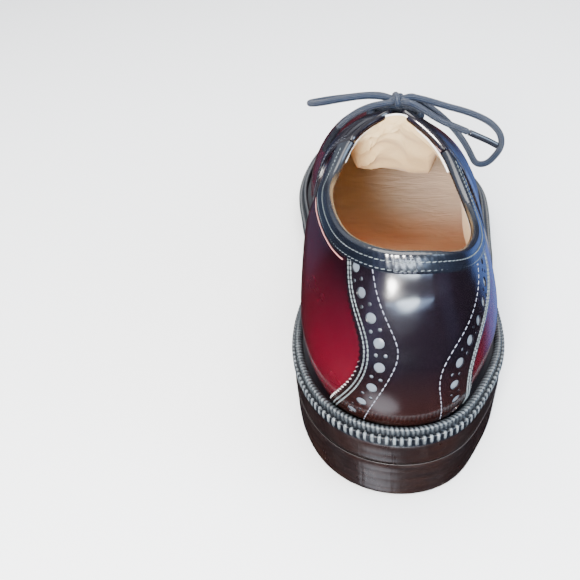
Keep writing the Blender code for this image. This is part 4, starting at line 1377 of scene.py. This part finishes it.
# How far the tongue's top edge stands over the gap between the facings
TONGUE_RISE = 4.2 * MM
# The rows of the tongue up to the facings' top, and beyond it, where its lining hugs the quarters
TONGUE_ROWS = 70
TONGUE_HUG_ROWS = 26
# How high the soft lining under the tongue hangs: a place from the heel and a height, in mm
TONGUE_SAG = Curve((
    (90, 110), (100, 104), (109, 97), (116, 88.5), (124, 76.5), (131, 66.5), (139, 61), (149, 59), (160, 59),
    (175, 59.5), (190, 60), (210, 60),
))
# Wrinkles in the tongue's lining: slant, how many, the middle across, width across and depth in mm
TONGUE_FOLDS = ((1.1, 12.0, -0.40, 0.45, 2.4), (-0.9, 9.0, 0.05, 0.6, 1.0), (0.7, 22.0, -0.45, 0.35, 1.4))


def arch(u, across):
    """A row of the upper's outer face carried smoothly over the gap between the facings."""
    v = np.linspace(0.3, 1.0, 9)
    near = len(v) - 1
    knots = np.concatenate([wall(-u, v), wall(u, v)[::-1]])
    joined = np.linalg.norm(knots[near + 1] - knots[near]) < 3 * MM
    if joined:
        knots = np.delete(knots, near, axis=0)
    gone = gone_along(knots)
    middle = gone[near] if joined else (gone[near] + gone[near + 1]) / 2
    return curves_through(knots, gone - middle)(across)


def tongue_top(across):
    """The u on the wall's top edge that the tongue's top edge follows, for distances from its middle."""
    u = np.linspace(FACING_U, 0.25, 200)
    line = wall(u, 1)
    return np.interp(np.abs(across), gone_along(line) + abs(line[0, 0]), u)


def tongue_face(across):
    """The tongue's outer face and its normals. Behind the facings it hugs the quarters' inside."""
    face = np.array([arch(u, across) for u in np.linspace(TONGUE_FRONT_U, FACING_U, TONGUE_ROWS)])
    out = unit(np.cross(np.gradient(face, axis=1), np.gradient(face, axis=0)))
    out *= np.sign(out[..., 2:])
    dip = 1 + 0.6 * smooth_step((np.arange(TONGUE_ROWS) - 52) / 18)
    face = face - out * (WALL + TONGUE_CLEAR * dip)[:, None, None]
    sides = np.sign(across + 1e-9)
    reach = np.linalg.norm(wall(FACING_U, 1.0) - wall(-FACING_U, 1.0)) / 2
    begin = down(FACING_U * sides, np.clip(np.abs(across) - reach, 0, None))
    top = tongue_top(across)
    middle = smooth_step(1 - np.abs(across) / (13 * MM))[:, None]
    hug, hug_out = [], []
    for t in np.linspace(0, 1, TONGUE_HUG_ROWS + 1)[1:]:
        u = (FACING_U + (top - FACING_U) * t) * sides
        v = begin + (0.992 - begin) * t
        n = normal(u, np.clip(v, EDGE_STEP, 1 - EDGE_STEP))
        line = wall(u, v) - n * (WALL + TONGUE_CLEAR * 1.3)
        line[:, 2] += 1.3 * MM * t**3
        bridge = face[-1] + np.array([0, -2.2 * MM, TONGUE_RISE]) * t
        bridge[:, 0] = across * (0.9 + 0.1 * t)
        hug.append(line * (1 - middle) + bridge * middle)
        hug_out.append(unit(n * (1 - middle) + out[-1] * middle))
    return np.concatenate([face, hug]), np.concatenate([out, hug_out])


def tongue_lining(face, out, across):
    """The tongue's lining: it thins to the edges, sags into the shoe and wrinkles there."""
    s = across / TONGUE_HALF_WIDTH
    r = np.linspace(0, 1, len(face))[:, None]
    near_top = 1 - r
    fold = 0
    for slant, pace, at, wide, depth in TONGUE_FOLDS:
        wave = np.sin(2 * np.pi * (pace * r + slant * s + 0.12 * np.sin(3 * s)))
        fold += depth * MM * wave * np.exp(-(((s - at) / wide) ** 2))
    fold = np.clip(fold * smooth_step((r - 0.35) / 0.3) * smooth_step(near_top / 0.04), -0.7 * MM, None)
    edge = smooth_step((1 - np.abs(s)) / 0.06) * smooth_step(near_top / 0.05)
    thick = TONGUE_THICKNESS * (0.5 + 0.5 * edge) * (1 - 0.35 * smooth_step((r - 0.7) / 0.3))
    under = face - out * (thick + fold)[..., None]
    lower = 3.5 * MM * smooth_step((s + 0.35) / 0.8) * smooth_step(near_top / 0.3)
    sag = under[..., 2] - TONGUE_SAG(under[..., 1] / MM) * MM + lower
    fall = np.clip(sag, 0, None) * smooth_step((1.02 - np.abs(s + 0.02)) / 0.3) * smooth_step(near_top / 0.1)
    under[..., 2] -= fall + fold * smooth_step(fall / (2 * MM))
    return under


def build_tongue():
    across = np.linspace(-TONGUE_HALF_WIDTH, TONGUE_HALF_WIDTH, 121)
    face, out = tongue_face(across)
    under = tongue_lining(face, out, across)
    tongue = add_shell("tongue_leather", face, under, [BLACK, LINING, LINING_EDGE], sharp=60)
    keep(tongue, "black_leather", "tongue")


# The lace

# The lace's way up from an eyelet: a distance in from the facing's edge and a height, as shares
LACE_RISE = (
    (1.00, -0.9), (1.00, -0.30), (1.00, 0.40), (0.93, 0.92), (0.72, 1.08), (0.45, 1.04), (0.00, 1.02),
)
# The end of the lead on each side, the knot's middle and the bow's routes, in mm
LEAD_ENDS = {-1: (-5.6, 121.2, 97.6), 1: (6.6, 121.2, 97.4)}
KNOT = np.array([0.5, 120, 99.8])
BOW_ROUTES = {
    "bow_loop_medial": (
        (-1.5, 119.8, 100.6), (-4.6, 119.6, 101.4), (-9.6, 119.2, 102.2), (-14.4, 119.0, 102.2),
        (-19.4, 119.0, 101.6), (-24.4, 119.2, 100.8), (-29.2, 119.8, 99.8), (-33.4, 121.0, 98.8),
        (-36.2, 123.0, 98.0), (-36.6, 125.6, 97.4), (-34.2, 127.6, 97.2), (-29.8, 128.4, 97.6),
        (-24.8, 128.4, 98.2), (-19.8, 128.0, 98.8), (-14.8, 127.2, 99.6), (-10.0, 126.0, 100.2),
        (-5.6, 123.6, 100.6), (-1.5, 120.6, 100.2),
    ),
    "bow_loop_lateral": (
        (2.5, 119.8, 100.6), (6.2, 119.4, 101.2), (10.0, 119.2, 100.6), (15.4, 119.5, 98.9),
        (22.0, 120.0, 96.6), (28.4, 120.8, 94.4), (34.4, 121.6, 91.8), (39.6, 122.6, 88.6),
        (43.6, 124.0, 84.5), (45.9, 125.3, 79.8), (46.0, 126.4, 75.0), (43.8, 127.0, 70.6),
        (40.4, 127.3, 67.4), (36.9, 127.5, 67.4), (34.4, 127.7, 70.6), (32.0, 127.7, 75.0),
        (29.0, 127.6, 79.6), (25.2, 127.3, 84.4), (20.8, 126.9, 89.0), (16.0, 126.3, 93.2),
        (11.2, 125.4, 97.0), (6.8, 123.6, 100.0), (2.5, 120.6, 99.9),
    ),
    "bow_end_medial": (
        (-1.5, 118.4, 99.6), (-5.4, 116.2, 99.8), (-8.8, 116.8, 99.0), (-12.6, 118.2, 97.3),
        (-16.0, 120.2, 95.0), (-19.1, 122.1, 92.3), (-22.0, 123.9, 89.2), (-24.6, 125.4, 85.8),
        (-27.0, 126.8, 82.0), (-29.2, 128.0, 78.0), (-31.2, 129.0, 73.8),
    ),
    "bow_end_lateral": (
        (2.5, 118.4, 99.6), (6.4, 116.2, 99.6), (9.6, 116.2, 97.9), (12.9, 116.8, 95.6),
        (16.7, 117.8, 92.8), (21.0, 119.0, 90.0), (26.0, 120.2, 87.4), (31.0, 121.2, 84.8),
        (36.0, 122.0, 82.2), (40.4, 122.8, 79.8), (44.0, 123.4, 77.6),
    ),
}
AGLET_LENGTH = 15 * MM


def rise_from_eyelet(pair, side):
    u = EYELETS[side][pair][4]
    inset, height = np.array(LACE_RISE).T
    over = 2.1 * MM + LACE_DIAMETER / 2
    return list(skin(u, down(u, EYELET_INSET * inset), over * height))


def build_lacing():
    for pair in range(1, EYELET_PAIRS):
        route = rise_from_eyelet(pair, -1) + rise_from_eyelet(pair, 1)[::-1]
        bar = add_tube(f"lace_across_{pair}", smooth_route(route, 0.5 * MM), LACE_DIAMETER / 2, LACE)
        keep(bar, "waxed_lace", f"lace_bar_{pair}")
    for side, name in ((-1, "medial"), (1, "lateral")):
        last = KNOT + (side * 2, 0.8, -1)
        route = rise_from_eyelet(0, side)[:-2] + [np.array(LEAD_ENDS[side]) * MM, last * MM]
        lead = add_tube("lace_rise_" + name, smooth_route(route, 0.5 * MM), LACE_DIAMETER / 2, LACE)
        keep(lead, "waxed_lace", "lace_lead_" + name)


def build_knot():
    """The bow's knot: a wrap of lace round the strands that pass through it."""
    share = np.linspace(0, 1, 60)
    angle = -0.4 + share * (2 * math.pi + 0.9)
    turns = np.stack([-1.3 + 2.6 * share, 2.75 * np.cos(angle), 2.0 * np.sin(angle) + 0.1], axis=-1)
    wrap = add_tube("bow_wrap", (KNOT + turns) * MM, LACE_DIAMETER / 2, LACE)
    keep(wrap, "waxed_lace", "bow_knot")
    x = np.linspace(-4.6, 4.6, 24)
    for i, (drop, back) in enumerate(((0.7, -1.0), (-0.9, 1.1))):
        line = np.stack([x, back + 0.6 * np.sin(x * 1.2), drop - 0.04 * x * x], axis=-1)
        strand = add_tube(f"bow_strand_{i}", (KNOT + line) * MM, LACE_DIAMETER / 2, LACE)
        keep(strand, "waxed_lace")


def build_bow():
    for name, route in BOW_ROUTES.items():
        path = smooth_route(np.array(route) * MM, 0.6 * MM)
        gone = gone_along(path)
        radius = LACE_DIAMETER / 2
        if "end" in name:
            start_of_aglet = gone[-1] - AGLET_LENGTH
            aglet = add_tube(name + "_aglet", path[gone >= start_of_aglet], radius * 0.98, AGLET, 16, 0.2)
            keep(aglet, "waxed_lace")
            radius = np.where(gone >= start_of_aglet - 0.4 * MM, radius * 0.72, radius)
        lace = add_tube(name + "_lace", path, radius, LACE)
        keep(lace, "waxed_lace", name)
        tuple(path[0])
        [tuple(p) for p in path]


# Floor and light

# The floor's rings: distances from the shoe in metres, where it starts to rise and how fast
FLOOR_RINGS = (0.01, 1.5, 4, 8, 9, 10, 11, 12, 13, 14)
FLOOR_RISE_FROM = 8
FLOOR_RISE = 5 / 36


def build_stage():
    floor_finish = start("floor_finish").shade(Base_Color=(0.96, 0.96, 0.96), Roughness=0.7)
    angle = np.linspace(0, 2 * np.pi, 96, endpoint=False)[:, None]
    away = np.array(FLOOR_RINGS)
    rise = FLOOR_RISE * np.clip(away - FLOOR_RISE_FROM, 0, None) ** 2
    rings = np.stack([away * np.cos(angle), away * np.sin(angle), rise + 0 * angle], axis=-1)
    middle = range(0, rings[..., 0].size, len(away))
    faces = list(grid_faces(*rings.shape[:2], closed=True)) + [middle]
    floor = add_mesh("floor", rings.reshape(-1, 3), faces, floor_finish)
    floor.location.z = -0.2 * MM
    floor.visible_glossy = False


# Soft lamps: place, what it aims at, size, power and colour
LAMPS = {
    "glare": ((0.12, -0.80, 0.185), (0, 0, 0.085), (0.42, 0.13), 3.4, (0.82, 0.92, 1.0)),
    "glare_wide": ((0.20, -0.86, 0.165), (0, 0, 0.085), (1.3, 0.12), 3.4, (0.50, 0.68, 1.0)),
    "fill": ((-0.16, -0.62, 0.36), (0, 0.13, 0.06), (0.22, 0.22), 22, (1.0, 0.97, 0.93)),
    "sky_right": ((0.85, -0.15, 0.55), (0, 0.08, 0.05), (0.6, 0.6), 9, (0.55, 0.75, 1.0)),
    "overhead": ((0.0, 0.25, 1.2), (0, 0.1, 0), (1.6, 1.6), 42, (1.0, 0.99, 0.98)),
}
# The surroundings' colour from straight below, 0, to straight above, 1
SKY = (
    (0.00, (0.03, 0.02, 0.02)),
    (0.47, (0.045, 0.035, 0.045)),
    (0.56, (0.12, 0.12, 0.16)),
    (0.66, (0.75, 0.80, 0.90)),
    (1.00, (0.90, 0.95, 1.0)),
)
# Soft patches in the surroundings: a bearing from behind the heel, a height, both in degrees,
# the cosines where each begins and is full, and its colour
PATCHES = (
    (150, -22, 0.945, 0.99, (0.18, 0.35, 0.95)),
    (75, 0, 0.93, 0.99, (0.06, 0.09, 0.18)),
    (-26, -56, 0.95, 0.988, (1.9, 2.0, 2.2)),
    (-40, 4, 0.90, 0.985, (0.26, 0.31, 0.62)),
    (-10, -14, 0.96, 0.992, (0.07, 0.08, 0.15)),
    (-150, -12, 0.96, 0.99, (0.03, 0.06, 0.12)),
)


def build_lamps():
    for name, (place, aim, size, energy, colour) in LAMPS.items():
        data = bpy.data.lights.new(name, "AREA")
        data.shape = "ELLIPSE"
        data.size, data.size_y = size
        data.energy = energy
        data.color = colour
        lamp = bpy.data.objects.new(name, data)
        lamp.location = place
        lamp.rotation_euler = (Vector(aim) - Vector(place)).to_track_quat("-Z", "Y").to_euler()
        bpy.context.scene.collection.objects.link(lamp)


def build_sky():
    world = bpy.data.worlds.new("sky")
    bpy.context.scene.world = world
    tree = Nodes(world)
    direction = tree.coords["Generated"]
    ramp = tree.node("ValToRGB", Fac=tree.spread(tree.part(direction, "Z"), -1, 1))
    marks = ramp.color_ramp.elements
    while len(marks) < len(SKY):
        marks.new(0.5)
    for mark, (at, colour) in zip(marks, SKY):
        mark.position = at
        mark.color = (*colour, 1.0)
    total = ramp.outputs["Color"]
    for bearing, height, begin, full, colour in PATCHES:
        bearing, height = math.radians(bearing), math.radians(height)
        flat = math.cos(height)
        toward = tree.new("ShaderNodeVectorMath")
        toward.operation = "DOT_PRODUCT"
        tree.link(direction, toward.inputs[0])
        way = (math.sin(bearing) * flat, -math.cos(bearing) * flat, math.sin(height))
        toward.inputs[1].default_value = way
        share = tree.spread(toward.outputs["Value"], begin, full, kind="SMOOTHSTEP")
        total = tree.mix(share, total, colour, "ADD")
    tree.put(world.node_tree.nodes["Background"].inputs["Color"], total)


build_upper()
build_counter()
build_saddle(-1)
build_saddle(1)
build_binding()
build_box_stitch()
build_tan_line()
build_lining_edge()
build_welt()
build_outsole()
build_heel()
build_insole()
build_tongue()
build_lacing()
build_knot()
build_bow()
build_stage()
build_lamps()
build_sky()
